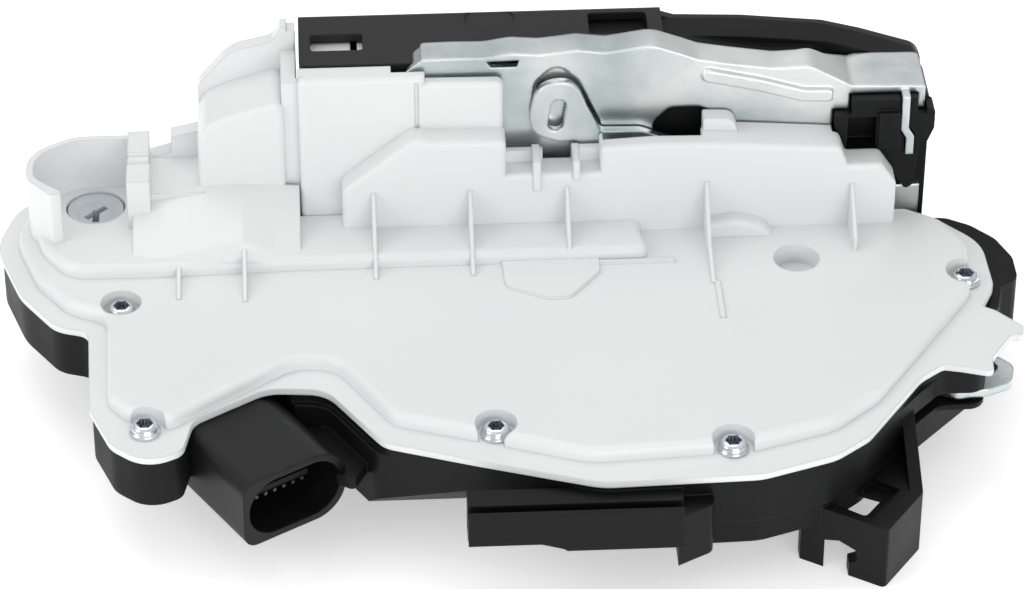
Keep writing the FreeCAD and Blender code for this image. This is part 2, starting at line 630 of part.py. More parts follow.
def wheel(x, y, mesh_angle, pinion_angle):
    """The worm wheel with its pinion moulded on top, bored for a post."""
    low = DRIVE_Z - WHEEL_THICK / 2
    high = DRIVE_Z + WHEEL_THICK / 2
    root = MODULE * WHEEL_TEETH / 2 - 1.3
    solid = join([rod(x, y, low, root, WHEEL_THICK)] + teeth(x, y, WHEEL_TEETH, mesh_angle, WHEEL_TEETH, low, high))
    pinion_root = MODULE * PINION_TEETH / 2 - 1.3
    pinion = join([rod(x, y, high - 0.5, pinion_root, PINION_TOP - high + 0.5)]
                  + teeth(x, y, PINION_TEETH, pinion_angle, PINION_TEETH, high - 0.2, PINION_TOP))
    hub = rod(x, y, HOUSING_FLOOR + WALL + GAP, 3.6, 10)
    solid = join([solid, pinion, hub])
    for i in range(6):
        hole = polar(x, y, 7.4, 60 * i + 30)
        solid = solid.cut(rod(hole[0], hole[1], low - 1, 1.5, 1 + WHEEL_THICK * 0.6))
    return solid.cut(rod(x, y, -20, POST_R + PIN_FIT, 20))


def toothed_lever(x, y, towards, arm_angle, arm_length):
    """A lever with a toothed sector on one side and a drive arm on the other."""
    pitch_r = MODULE * SECTOR_TEETH / 2
    step = 360.0 / SECTOR_TEETH
    low = LEVER_Z
    high = LEVER_Z + LEVER_THICK
    fan = [polar(x, y, 3, towards + 105), polar(x, y, 3, towards - 75)]
    fan += [polar(x, y, pitch_r - 1.3, towards - 15 + 10 * k) for k in range(7)]
    tip = polar(x, y, arm_length, arm_angle)
    arm = [polar(x, y, 3.4, arm_angle + 90), polar(x, y, 3.4, arm_angle - 90),
           polar(tip[0], tip[1], 2, arm_angle - 90), polar(tip[0], tip[1], 2, arm_angle + 90)]
    first = towards - step
    parts = [prism(fan, low, high), prism(arm, low, high), rod(x, y, low, 5, LEVER_THICK + 0.9),
             rod(tip[0], tip[1], low, 2.6, LEVER_THICK)]
    parts += teeth(x, y, SECTOR_TEETH, first, 6, low, high)
    return join(parts).cut(rod(x, y, -20, POST_R + PIN_FIT, 20))


def mesh_angle(side):
    """Where a tooth of the wheel must stand to lie between two threads of its worm."""
    pitch = math.pi * MODULE
    middle = WORM_LENGTH / 2
    first = 0.25 if side > 0 else 0.75
    threads = [pitch * (first + n) for n in range(6)]
    gap = min((t + pitch / 2 - middle for t in threads), key=abs)
    return -side * 90 + side * math.degrees(gap / (MODULE * WHEEL_TEETH / 2))


def drive_layout(worm_at, side, pivot_angle):
    """Wheel centre and lever pivot of a drive, from its worm."""
    wheel_x = worm_at[0] + WORM_LENGTH / 2
    wheel_y = worm_at[1] + side * CENTRES
    pivot = polar(wheel_x, wheel_y, REACH, pivot_angle)
    return wheel_x, wheel_y, pivot[0], pivot[1]


LOCK_WHEEL_X, LOCK_WHEEL_Y, LOCK_X, LOCK_Y = drive_layout(LOCK_WORM, 1, LOCK_PIVOT_ANGLE)
SAFE_WHEEL_X, SAFE_WHEEL_Y, SAFE_X, SAFE_Y = drive_layout(SAFE_WORM, -1, SAFE_PIVOT_ANGLE)


def posts():
    """The posts that the wheels and levers turn on, and the seats of motors and link."""
    floor = HOUSING_FLOOR + WALL - 0.5
    made = []
    for x, y, top in ((LOCK_WHEEL_X, LOCK_WHEEL_Y, PINION_TOP + 1), (SAFE_WHEEL_X, SAFE_WHEEL_Y, PINION_TOP + 1)):
        made.append(rod(x, y, floor, POST_R, top - floor))
    for x, y in ((LOCK_X, LOCK_Y), (SAFE_X, SAFE_Y)):
        top = LEVER_Z + LEVER_THICK + 2
        made.append(rod(x, y, floor, POST_R, top - floor))
        made.append(rod(x, y, floor, POST_R + 2.4, LEVER_Z - GAP - floor))
    made.append(rod(INNER_X, INNER_Y, floor, POST_R + 2.4, INNER_Z - GAP - floor))
    made.append(rod(INNER_X, INNER_Y, floor, POST_R, INNER_Z + INNER_THICK + 2 - floor))
    for x in (-66, -38, -22):
        made.append(block(x, x + 3, 12, 18.4, floor, LINK_Z - GAP))
    return made


def key_follower():
    """The socket that the key cylinder's tailpiece turns, with its cranked arm."""
    head = rod(KEY_X, KEY_Y, 1.6, KEY_R, KEY_TOP - 1.6)
    cone = Part.makeCone(3.6, 4.7, 0.9, V(KEY_X, KEY_Y, KEY_TOP - 0.9), V(0, 0, 1))
    head = head.cut(cone)
    slot = block(KEY_X - 0.7, KEY_X + 0.7, KEY_Y - 4.2, KEY_Y + 1, KEY_TOP - 4.4, KEY_TOP + 1)
    cross = turned(block(KEY_X - 0.7, KEY_X + 0.7, KEY_Y - 2.8, KEY_Y + 2.8, KEY_TOP - 4.4, KEY_TOP + 1),
                   KEY_X, KEY_Y, 0, -47, V(0, 0, 1))
    stem = rod(KEY_X, KEY_Y, LOBE_FLOOR, KEY_JOURNAL, 2 - LOBE_FLOOR)
    neck = rod(KEY_X, KEY_Y, LOBE_FLOOR + WALL + GAP, 4.4, 3)
    tip = (KEY_X, KEY_Y - KEY_ARM)
    arm = prism([(KEY_X - 3.6, KEY_Y), (KEY_X - 2.4, tip[1] - 2, 2), (KEY_X + 2.4, tip[1] - 2, 2),
                 (KEY_X + 3.6, KEY_Y)], LOBE_FLOOR + WALL + GAP, LINK_Z - GAP)
    pin = rod(tip[0], tip[1], LINK_Z - GAP - 1, KEY_PIN_R, GAP + 1 + LINK_THICK)
    return join([head, stem, neck, arm, pin]).cut(slot).cut(cross)


def key_link():
    """The flat rod that carries the follower's turn to the lock lever."""
    y = KEY_Y - KEY_ARM
    bar = [(KEY_X - 4.6, y - 3.8, 1.5), (KEY_X + 5, y - 3.8, 1.5), (KEY_X + 7, y - 2.2, 1),
           (LINK_RIGHT, y - 2.2, 1), (LINK_RIGHT, y + 1.8, 1), (KEY_X + 8, y + 1.8, 1),
           (KEY_X + 5, y + 5, 1.5), (KEY_X - 4.6, y + 5, 1.5)]
    solid = prism(bar, LINK_Z, LINK_Z + LINK_THICK)
    half = KEY_PIN_R + KEY_SLOT_PLAY
    room = [(KEY_X - half, y - half, 1.5), (KEY_X + half, y - half, 1.5), (KEY_X + half, y + half + 1.8, 1.5),
            (KEY_X - half, y + half + 1.8, 1.5)]
    return solid.cut(prism(room, LINK_Z - 1, LINK_Z + LINK_THICK + 1))


INNER_LEVER = [
    (63, -12, 4), (79, -24.2, 6), (88, -28.6, 4), (94.5, -27.6, 4), (99.4, -25.4, 3.4), (100.6, -20, 3),
    (97.6, -16.6, 1), (96.2, -18, 1), (97.4, -20.6, 1.6), (95.4, -22.8, 2), (90, -21.6, 4),
    (78, -15, 6), (71, -3, 4), (65.4, 8, 2), (66, 13, 2), (61.6, 13.4, 1.4), (60.6, 6, 3), (61, -6, 3),
]


def inner_lever():
    solid = prism(INNER_LEVER, INNER_Z, INNER_Z + INNER_THICK)
    return solid.cut(rod(INNER_X, INNER_Y, -20, POST_R + PIN_FIT, 20))


def hook_slot():
    """The mouth in the housing's side that the inner lever comes out of, for its whole swing."""
    angles = (-20.0, -30.0, -42.0, -55.0, -68.0)
    near = [polar(INNER_X, INNER_Y, 12, a) for a in angles]
    far = [polar(INNER_X, INNER_Y, 42, a) for a in reversed(angles)]
    return prism(near + far, INNER_Z - 0.6, INNER_Z + INNER_THICK + 0.6)


def clip_ring(x, y, low, bore, radius, thick=0.8):
    """A push-on washer with a slit, that keeps a lever on its post."""
    ring = rod(x, y, low, radius, thick).cut(rod(x, y, low - 1, bore, thick + 2))
    return ring.cut(block(x, x + radius + 1, y - 0.5, y + 0.5, low - 1, low + thick + 1))


def retaining_clips():
    clips = []
    for x, y, low in ((LOCK_X, LOCK_Y, LEVER_Z + LEVER_THICK + 0.9 + GAP),
                      (SAFE_X, SAFE_Y, LEVER_Z + LEVER_THICK + 0.9 + GAP),
                      (INNER_X, INNER_Y, INNER_Z + INNER_THICK + GAP)):
        clips.append(clip_ring(x, y, low, POST_R, POST_R + 2.2))
    return Part.makeCompound(clips)


SWITCHES = [(-14.0, -30.0, 90), (30.0, -18.0, 0), (-66.0, -24.0, 0)]


def switch_case(x, y, angle):
    body = block(-5, 5, -3, 3, 0, 6).cut(rod(-3, -4, 3, 0.7, 8, "y"))
    legs = [block(k * 3 - 0.25, k * 3 + 0.25, -0.5, 0.5, 6, 7.6) for k in (-1, 0, 1)]
    case = body.cut(block(1.7, 3.5, 0.9, 4, 2.1, 3.9))
    case = join([case] + legs)
    case.rotate(V(0, 0, 0), V(0, 0, 1), angle)
    case.translate(V(x, y, HOUSING_FLOOR + WALL))
    return case


def switch_button(x, y, angle):
    button = block(1.95, 3.25, 1.8, 4.2, 2.35, 3.65)
    button.rotate(V(0, 0, 0), V(0, 0, 1), angle)
    button.translate(V(x, y, HOUSING_FLOOR + WALL))
    return button


LEAD_Z = -1.65
CARRIER_THICK = 0.9
TRACK = 0.35
CARRIER = [
    (-66, -28, 2), (-50, -20, 3), (-36, -28, 2), (-22, -43, 3), (10, -50.5, 4), (42, -49, 4), (46, -44, 2),
    (20, -42, 2), (2, -42, 3), (-6, -30, 3), (-20, -18, 4), (-36, -12, 4), (-62, -10, 3), (-74, -14, 2),
    (-74, -28, 2),
]


def contact_carrier():
    """The moulded tray that holds the copper tracks over motors and switches."""
    tray = prism(CARRIER, LEAD_Z, LEAD_Z + CARRIER_THICK)
    feet = [rod(x, y, HOUSING_FLOOR + WALL, 1.6, LEAD_Z - HOUSING_FLOOR - WALL + 0.3)
            for x, y in ((-71, -17), (-25, -37), (12, -47))]
    tray = join([tray] + feet)
    for x, y in SCREWS:
        tray = tray.cut(rod(x, y, -9, BOSS_R + GAP, 12))
    return tray


def contact_tracks():
    """Stamped copper strips lying on the carrier."""
    strips = []
    for k in range(4):
        shift = k * 1.9
        run = [(-70, -24.4 + shift), (-50, -18 + shift), (-36, -24.5 + shift), (-36, -23.4 + shift),
               (-50, -16.9 + shift), (-70, -23.3 + shift)]
        strips.append(prism(run, LEAD_Z + CARRIER_THICK, LEAD_Z + CARRIER_THICK + TRACK))
    for k in range(3):
        shift = k * 2.0
        run = [(-20, -39 + shift), (10, -48 + shift), (40, -47 + shift), (40, -46 + shift),
               (10.2, -47 + shift), (-20, -38 + shift)]
        strips.append(prism(run, LEAD_Z + CARRIER_THICK, LEAD_Z + CARRIER_THICK + TRACK))
    return Part.makeCompound(strips)


def cover_screws():
    """Pan-head screws with a six-lobe socket."""
    made = []
    for x, y in SCREWS:
        head = rod(x, y, RIM_TOP, SCREW_HEAD_R, SCREW_HEAD)
        head = soften(head, 0.9, RIM_TOP + SCREW_HEAD)
        shank = rod(x, y, RIM_TOP - SCREW_LENGTH, SCREW_R, SCREW_LENGTH + 0.2)
        lobes = [rod(*polar(x, y, 0.95, 60 * k), RIM_TOP + 0.9, 0.5, 2) for k in range(6)]
        socket = join([rod(x, y, RIM_TOP + 0.9, 1.05, 2)] + lobes)
        made.append(join([head, shank]).cut(socket))
    return Part.makeCompound(made)


def cover_seal():
    ring = inset(RIM, 1.45, -SEAL_DEEP, 0).cut(inset(RIM, 1.35 + SEAL_W, -SEAL_DEEP - 1, 1))
    for x, y in SCREWS:
        ring = ring.cut(rod(x, y, -5, SCREW_R + 0.8, 10))
    return ring.cut(connector_room())


# Latch unit: steel face plate, plastic body, galvanised back plate, catch and pawl
FRAME_LEFT = -40.0
COLLAR_R = 5.6
FRAME_FRONT_TOP = [
    (FRAME_LEFT, FRAME_BOTTOM, 2), (PAWL_X + 16.4, FRAME_BOTTOM, 3), (PAWL_X + 16.6, 29.4, 2), (PAWL_X, 30.6),
    (PAWL_X - 7, 34.6, 2), (PAWL_X - 18, 35.3, 4), (FORK_X + 5, 36.6, 4), (FORK_X - 2, 37.8), (FRAME_LEFT, 37.8, 0.5),
]
FRAME_BACK_TOP = [
    (FRAME_LEFT, FRAME_BOTTOM, 2), (PAWL_X + 16.4, FRAME_BOTTOM, 3), (PAWL_X + 16.6, 28.6, 3), (PAWL_X + 4, 33.0, 8),
    (PAWL_X - 4, 35.4, 8), (PAWL_X - 21, 37.2, 10), (36, 37.8), (FRAME_LEFT, 37.8, 0.5),
]
FRAME_STEP = 37.0
END_BLOCK = [
    (PAWL_X, 30.6), (PAWL_X, 26.9), (PAWL_X - 3.4, 26.9), (PAWL_X - 3.4, 24), (PAWL_X - 1.4, 17.0),
    (PAWL_X + 6.4, 16.8), (PAWL_X + 11.9, 8.2, 0.8), (PAWL_X + 13.5, 9.4, 0.5), (PAWL_X + 14.4, 19.7),
    (PAWL_X + 16, 20.2), (PAWL_X + 17.2, 23.4), (PAWL_X + 17.2, 27.6, 0.8), (PAWL_X + 15.2, 28.6),
    (PAWL_X + 15.2, 30.6),
]
END_FRONT = 21.8
CHANNEL_WALL = 2.2
CHANNEL_TOP = 14.0
COIL_WIRE = 0.6

PLATE_SHAPE = [
    (FACE_LEFT, FACE_BOTTOM, 6), (SLOT_X - 11, FACE_BOTTOM, 3), (SLOT_X - SLOT_WIDTH / 2, FACE_BOTTOM + 7, 3),
    (SLOT_X - SLOT_WIDTH / 2, SLOT_END, SLOT_WIDTH / 2 - 0.1), (SLOT_X + SLOT_WIDTH / 2, SLOT_END, SLOT_WIDTH / 2 - 0.1),
    (SLOT_X + SLOT_WIDTH / 2, FACE_BOTTOM + 7, 3), (SLOT_X + 11, FACE_BOTTOM, 3), (FACE_RIGHT, FACE_BOTTOM, 8),
    (FACE_RIGHT, 28.4, 4), (PAWL_X + 4, 32.8, 10), (PAWL_X - 4, 35.0, 8), (PAWL_X - 21, 36.8, 10), (36, 37.4, 1), (33, 38.4),
    (33, 39.0), (FACE_LEFT, 39.0),
]
FLANGE = [
    (FACE_LEFT, FLANGE_FRONT, 2), (2, FLANGE_FRONT, 1), (2, FLANGE_FRONT + 3, 1),
    (FLANGE_RIGHT, FLANGE_FRONT + 3, 1), (FLANGE_RIGHT, FACE_OUT), (FACE_LEFT, FACE_OUT),
]
WINDOW_ONE = [(-39.6, 31.5, 0.8), (-28.9, 31.5, 0.8), (-28.9, 37.7, 0.8), (-39.6, 37.7, 0.8)]
WINDOW_TWO = [(17.8, 35.1, 1), (29.9, 35.1, 1), (29.9, 43.2, 1), (17.8, 43.2, 1)]

ZINC_TOP = [
    (-17.2, 41.9), (-10.9, 42, 7), (-4.3, 41.9, 7), (1, 42.8, 6), (7, 42.3, 7), (14.5, 43.2, 6),
    (20.5, 42.4, 6), (29.8, 43.9, 7), (35.8, 41.6, 8), (39.5, 40.1, 8), (46, 38.9, 9), (55, 37.5, 9),
    (PAWL_X - 8.6, 37.8, 4), (PAWL_X + 0.2, 32.7, 2), (PAWL_X + 15.2, 32.3),
]
ZINC_FOLD = 30.6
ZINC_FOLD_RIGHT = 36.8
EYE_RECESS = [(5, 24, 3), (5.6, 36, 4), (10.5, 40.4, 3), (15, 36, 3), (20.6, 23, 2)]
ZINC_CUT = [(30.2, 16), (30.2, 25.6, 3), (33.6, 28.9, 3), (40, 28.9, 3), (44, 26.4, 4), (47.8, 22, 2), (47.8, 16)]
BEAD_Y = 23.0

FORK_NOTCHES = [(-7.0, 22.0), (-40.0, -28.0)]
PAWL = [
    (PAWL_X - 5.6, PAWL_Z, 5), (PAWL_X - 5.9, PAWL_Z + 12, 2), (PAWL_X - 6.2, PAWL_Z + 14.6, 0.6),
    (PAWL_X - 6.3, PAWL_Z + 18.6, 0.8), (PAWL_X - 2.5, PAWL_Z + 19.8, 2), (PAWL_X + 1.4, PAWL_Z + 14, 3),
    (PAWL_X + 6, PAWL_Z + 4.6, 3), (PAWL_X + 12.6, PAWL_Z + 2.6, 1.5), (PAWL_X + 12.8, PAWL_Z - 2.2, 1.5),
    (PAWL_X + 5.5, PAWL_Z - 4, 3), (PAWL_X, PAWL_Z - 6.6, 5), (PAWL_X - 5, PAWL_Z - 5, 4),
]
PAWL_LIFT = 16.0
LUG_X = PAWL_X + 11.6
LUG_Z = PAWL_Z + 0.2
LUG_R = 1.6
OUTER_LEVER = [
    (4.7, 29, 4), (6.4, 36.6, 5), (14.0, 37.2, 4.4), (16.6, 30.6, 3), (19.4, 24.8, 1.2), (27.6, 24.6, 3),
    (50, 15.8, 6), (58, 16, 5), (66, 10, 4),
    (LUG_X + 2.2, LUG_Z + 7.8, 1.6), (LUG_X + 1.6, LUG_Z + 3, 1.6), (LUG_X - 2.2, LUG_Z + 3.2, 1.6), (LUG_X - 5.6, LUG_Z + 7.4, 2), (66, 4.2, 4),
    (57, 4.2, 4), (51.6, 8, 4), (40, 15.4, 6), (24, 20.6, 3), (17, 19.2, 1.2), (14.4, 22.6, 1.2),
    (10.6, 22.6, 4), (5.2, 24.6, 4),
]
OUTER_SWING = 8.0


def face_plate():
    """The black steel plate that is bolted to the door's rear edge, with its folded flange."""
    plate = prism(PLATE_SHAPE, FACE_OUT - FACE_PLATE, FACE_OUT, "xz")
    flange = prism(FLANGE, FACE_TOP - FACE_PLATE, FACE_TOP)
    flange = flange.cut(prism(WINDOW_ONE, 30, 50)).cut(prism(WINDOW_TWO, 30, 50))
    solid = plate.fuse(flange)
    for x in (BOLT_LEFT, BOLT_LEFT + BOLT_PITCH):
        solid = solid.fuse(rod(x, FACE_OUT - NUT_DEPTH, BOLT_Z, COLLAR_R, NUT_DEPTH - 1, "y"))
    solid = solid.removeSplitter()
    edges = [e for e in solid.Edges if abs(e.BoundBox.YMin - FACE_OUT) < 0.01 and
             abs(e.BoundBox.ZMin - FACE_TOP) < 0.01 and e.Length > 30]
    solid = solid.makeFillet(FACE_PLATE * 0.9, edges)
    for x in (BOLT_LEFT, BOLT_LEFT + BOLT_PITCH):
        solid = solid.cut(rod(x, FACE_OUT - NUT_DEPTH - 1, BOLT_Z, BOLT_R, NUT_DEPTH + 2, "y"))
    solid = solid.cut(rod(-2.5, 41.8, FACE_TOP - 0.4, 5.2, 1))
    solid = solid.cut(rod(FORK_X, 30, FORK_Z, PIN_R - 1, 30, "y"))
    return solid.cut(rod(PAWL_X, 30, PAWL_Z, PAWL_PIN_R - 1, 30, "y"))


def latch_frame():
    """The moulded body that the catch and the pawl lie in."""
    low = BACK_FRONT + SHEET
    high = FACE_OUT - FACE_PLATE
    solid = prism(FRAME_FRONT_TOP, low, FRAME_STEP, "xz").fuse(prism(FRAME_BACK_TOP, FRAME_STEP, high, "xz"))
    solid = solid.fuse(prism(END_BLOCK, END_FRONT, low + 1, "xz"))
    solid = solid.fuse(block(PAWL_X + 5.6, PAWL_X + 10.2, END_FRONT - 1.2, low + 1, 19.4, 27.8)).removeSplitter()
    room = inset(FRAME_FRONT_TOP, FRAME_WALL, low + FRAME_FLOOR, high + 1, "xz")
    solid = solid.cut(room)
    half = SLOT_WIDTH / 2
    walls = block(SLOT_X - half - CHANNEL_WALL, SLOT_X + half + CHANNEL_WALL, low + 1, FORK_FRONT_Y - 1.2,
                  FRAME_BOTTOM, CHANNEL_TOP + CHANNEL_WALL)
    walls = walls.cut(block(SLOT_X - half, SLOT_X + half, low + FRAME_FLOOR, 60, FRAME_BOTTOM - 1, CHANNEL_TOP))
    fork_boss = rod(FORK_X, low + 1, FORK_Z, 6.0, FORK_FRONT_Y - GAP - low - 1, "y")
    pawl_boss = rod(PAWL_X, low + 1, PAWL_Z, 5.5, FORK_FRONT_Y - GAP - low - 1, "y")
    solid = join([solid, walls, fork_boss, pawl_boss])
    solid = solid.cut(block(SLOT_X - half, SLOT_X + half, low + FRAME_FLOOR, 60, FRAME_BOTTOM - 1, 0))
    solid = solid.cut(prism([(SLOT_X - half, -15), (SLOT_X - 11, FRAME_BOTTOM - 1), (SLOT_X + 11, FRAME_BOTTOM - 1),
                             (SLOT_X + half, -15)], FORK_FRONT_Y, 60, "xz"))
    for x in (BOLT_LEFT, BOLT_LEFT + BOLT_PITCH):
        solid = solid.cut(rod(x, FACE_OUT - NUT_DEPTH, BOLT_Z, COLLAR_R, NUT_DEPTH, "y"))
    solid = solid.cut(rod(FORK_X, 20, FORK_Z, PIN_R, 30, "y"))
    solid = solid.cut(rod(PAWL_X, 20, PAWL_Z, PAWL_PIN_R, 30, "y"))
    solid = solid.cut(rod(OUTER_X, 20, OUTER_Z, OUTER_PIN_R, 20, "y"))
    solid = solid.cut(lug_slot(BACK_FRONT, FORK_FRONT_Y - 6))
    solid = solid.cut(block(PAWL_X - 0.8, PAWL_X + 5.2, END_FRONT - 2, BACK_FRONT + SHEET + 0.6, 18.6, 26.4))
    solid = solid.cut(prism(grown_strip(0.3), END_FRONT - 3, BACK_FRONT + 2.6, "xz"))
    solid = solid.cut(block(PAWL_X + 13.5, PAWL_X + 15.5, END_FRONT - 2, BACK_FRONT + 2.6, 26.7, 31))
    solid = solid.cut(block(FRAME_LEFT - 1, -27.6, BACK_FRONT, 40.0, 35.6, 39))
    for x, z in LATCH_SCREWS:
        solid = solid.cut(rod(x, 20, z, LATCH_SCREW_R, 20, "y"))
    return solid


def lug_slot(low, high):
    """The arched window that the pawl's lug swings in."""
    angles = [0, -4, -8, -12, -16]
    reach = math.hypot(LUG_X - PAWL_X, LUG_Z - PAWL_Z)
    base = math.degrees(math.atan2(LUG_Z - PAWL_Z, LUG_X - PAWL_X))
    extra = math.degrees((LUG_R + 0.9) / reach)
    sweep = [base + extra] + [base + a for a in angles] + [base - PAWL_LIFT - extra]
    outer = [polar(PAWL_X, PAWL_Z, reach + LUG_R + 0.7, a) for a in sweep]
    inner = [polar(PAWL_X, PAWL_Z, reach - LUG_R - 0.7, a) for a in reversed(sweep)]
    return prism(outer + inner, low, high, "xz")


def grown_strip(by):
    """The cranked spring tongue in the end block, grown all round by a clearance."""
    left = PAWL_X + 10.2 - by
    right = PAWL_X + 11.8 + by
    return [(left, 31.5), (left, 23.4 - by), (left + 1.2, 21.4 - by), (left + 1.2, 17.4 - by),
            (right + 1.2, 17.4 - by), (right + 1.2, 21.8), (right, 23.8), (right, 31.5)]


def back_plate():
    """The galvanised plate on the front of the latch body, with its folded wavy edge."""
    right = PAWL_X + 15.2
    region = list(ZINC_TOP) + [(right, -18, 4), (-22, -18, 4), (-22, 34, 2), (-17.2, 38)]
    folded = prism(region, BACK_FRONT, ZINC_FOLD_RIGHT, "xz")
    lowered = prism([(p[0], p[1] - SHEET) + tuple(p[2:]) for p in region], BACK_FRONT - 1, ZINC_FOLD_RIGHT + 1, "xz")
    plan = [(-17.2, 20), (-17.2, ZINC_FOLD, 1), (PAWL_X - 11, ZINC_FOLD, 4), (PAWL_X - 5, ZINC_FOLD + 1.2, 3),
            (PAWL_X + 1.4, ZINC_FOLD_RIGHT - 0.3, 2), (right, ZINC_FOLD_RIGHT, 1.4), (right, 20)]
    fold = folded.cut(lowered).common(prism(plan, 30, 50))
    gone = [(PAWL_X - 0.4, 30.9), (right + 4, 30.9), (right + 4, 7.8), (PAWL_X - 3.8, 7.8), (PAWL_X - 3.8, 27.2),
            (PAWL_X - 0.4, 27.2)]
    plate = prism(region, BACK_FRONT, BACK_FRONT + SHEET, "xz").cut(prism(gone, 20, 30, "xz"))
    wing = Part.makeLoft([outline([(-17.0, 41.9), (-20.6, 38.8), (-20.6, 34), (-17.0, 34)], "xz", BACK_FRONT),
                          outline([(-17.0, 41.9), (-18.6, 40.5), (-18.6, 40.3), (-17.0, 40.3)], "xz", BACK_FRONT + 5.4)],
                         True, True)
    wing = wing.cut(block(-30, -10, BACK_FRONT + SHEET, 50, 30, FACE_TOP + 0.15))
    strip = prism(grown_strip(0), BACK_FRONT - 2.9, BACK_FRONT + 2.2, "xz")
    stub = block(PAWL_X + 13.8, right, BACK_FRONT, BACK_FRONT + 1.2, 27.0, 31.5)
    solid = join([plate, fold, wing, strip, stub])
    recess = soften(prism(EYE_RECESS, BACK_FRONT - 1, BACK_FRONT + 0.9, "xz"), 0.8, BACK_FRONT + 0.9, "xz")
    solid = solid.cut(recess)
    solid = solid.cut(prism(ZINC_CUT, BACK_FRONT - 1, BACK_FRONT + 3, "xz"))
    solid = solid.cut(prism([(-4, 41.0), (-3, 39.6, 0.3), (2.3, 39.6, 0.3), (2.7, 41.2)], BACK_FRONT - 1, BACK_FRONT + 3, "xz"))
    solid = solid.fuse(bead())
    solid = solid.cut(rod(FORK_X, 20, FORK_Z, PIN_R, 10, "y")).cut(rod(PAWL_X, 20, PAWL_Z, PAWL_PIN_R, 10, "y"))
    solid = solid.cut(rod(OUTER_X, 20, OUTER_Z, OUTER_PIN_R, 10, "y")).cut(lug_slot(20, 30))
    for x, z in LATCH_SCREWS:
        solid = solid.cut(rod(x, 20, z, LATCH_SCREW_R, 10, "y"))
    return solid


def bead():
    """The long stiffening bead pressed into the plate's right half."""
    path = [(41.5, 36.5), (52, 34.0), (61, 31.2), (66, 31.0)]
    runs = []
    for (x0, z0), (x1, z1) in zip(path, path[1:]):
        run = Part.makeCylinder(1.6, math.hypot(x1 - x0, z1 - z0), V(x0, BACK_FRONT, z0), V(x1 - x0, 0, z1 - z0))
        runs += [run, Part.makeSphere(1.6, V(x1, BACK_FRONT, z1))]
    runs.append(Part.makeSphere(1.6, V(path[0][0], BACK_FRONT, path[0][1])))
    return join(runs).common(block(30, PAWL_X - 4, BACK_FRONT - 1, BACK_FRONT + 1, 20, 45))


def fork_shape(radius, low, high, throat):
    """The catch as it stands when latched: a disc with its throat towards the striker."""
    solid = rod(FORK_X, low, FORK_Z, radius, high - low, "y")
    half = throat / 2
    z = FORK_Z - THROAT_DROP
    mouth = [(SLOT_X, z - half), (FORK_X - radius - 4, z - half - 1.5), (FORK_X - radius - 4, z + half + 1.5),
             (SLOT_X, z + half)]
    solid = solid.cut(prism(mouth, low - 1, high + 1, "xz")).cut(rod(SLOT_X, low - 1, z, half, high - low + 2, "y"))
    return solid


def sector(inner, outer, start, stop, low, high):
    count = max(2, int(abs(stop - start) / 12))
    steps = [start + (stop - start) * i / count for i in range(count + 1)]
    ring = [polar(FORK_X, FORK_Z, outer, a) for a in steps]
    ring += [polar(FORK_X, FORK_Z, inner, a) for a in reversed(steps)]
    return prism(ring, low, high, "xz")


def opened(shape):
    """Turn a piece drawn latched to its open, resting place."""
    return turned(shape, FORK_X, 0, FORK_Z, -FORK_OPEN, V(0, 1, 0))


def fork_steel():
    low = FORK_FRONT_Y
    high = FORK_FRONT_Y + FORK_THICK
    solid = fork_shape(FORK_R, low, high, THROAT_WIDTH)
    for start, stop in FORK_NOTCHES:
        depth = 5.0 if stop > 0 else 3.0
        solid = solid.cut(sector(FORK_R - depth, FORK_R + 3, start, stop, low - 1, high + 1))
    solid = solid.cut(sector(FORK_R - 8, FORK_R + 3, 22, 84, low - 1, high + 1))
    return solid.cut(rod(FORK_X, low - 1, FORK_Z, PIN_R + PIN_FIT, FORK_THICK + 2, "y"))


def fork_jacket():
    """The moulded jacket over both jaws, that quietens the striker."""
    low = FORK_FRONT_Y - 0.6
    high = FORK_FRONT_Y + FORK_THICK + 0.4
    solid = fork_shape(FORK_R + 0.5, low, high, THROAT_WIDTH - 2 * JACKET)
    solid = solid.common(block(FORK_X - 30, FORK_X - 8.2, low, high, FORK_Z - 30, FORK_Z + 30))
    return solid.cut(fork_steel())


def pawl():
    low = FORK_FRONT_Y
    solid = prism(PAWL, low, low + FORK_THICK, "xz")
    solid = solid.fuse(rod(LUG_X, OUTER_FRONT + 0.1, LUG_Z, LUG_R, low + 1 - OUTER_FRONT, "y")).removeSplitter()
    return solid.cut(rod(PAWL_X, low - 1, PAWL_Z, PAWL_PIN_R + PIN_FIT, FORK_THICK + 2, "y"))


def pivot_pin(x, z, radius, head):
    """A shouldered rivet from the back plate to the face plate."""
    inside = FACE_OUT - FACE_PLATE
    front = rod(x, BACK_FRONT - 0.7, z, head, 0.7, "y")
    return join([front, rod(x, BACK_FRONT - 0.5, z, radius, inside - BACK_FRONT + 0.5, "y"),
                 rod(x, inside - 0.5, z, radius - 1, FACE_PLATE + 0.5, "y")])


def outer_lever():
    """The slotted lever that the outside handle's cable pulls."""
    solid = prism(OUTER_LEVER, OUTER_FRONT, OUTER_FRONT + OUTER_THICK, "xz")
    slot = [(8.2, 25.4, 1.6), (11.4, 25.0, 1.6), (12.6, 32.4, 1.6), (9.4, 33.0, 1.6)]
    solid = solid.cut(prism(slot, OUTER_FRONT - 1, OUTER_FRONT + 4, "xz"))
    return solid.cut(rod(OUTER_X, 20, OUTER_Z, OUTER_PIN_R + PIN_FIT, 10, "y"))


def outer_pin():
    head = rod(OUTER_X, OUTER_FRONT - 1.45, OUTER_Z, 4.2, 1.1, "y")
    shaft = rod(OUTER_X, OUTER_FRONT - 0.5, OUTER_Z, OUTER_PIN_R, BACK_FRONT + SHEET + FRAME_FLOOR - OUTER_FRONT + 0.5, "y")
    return head.fuse(shaft).removeSplitter()


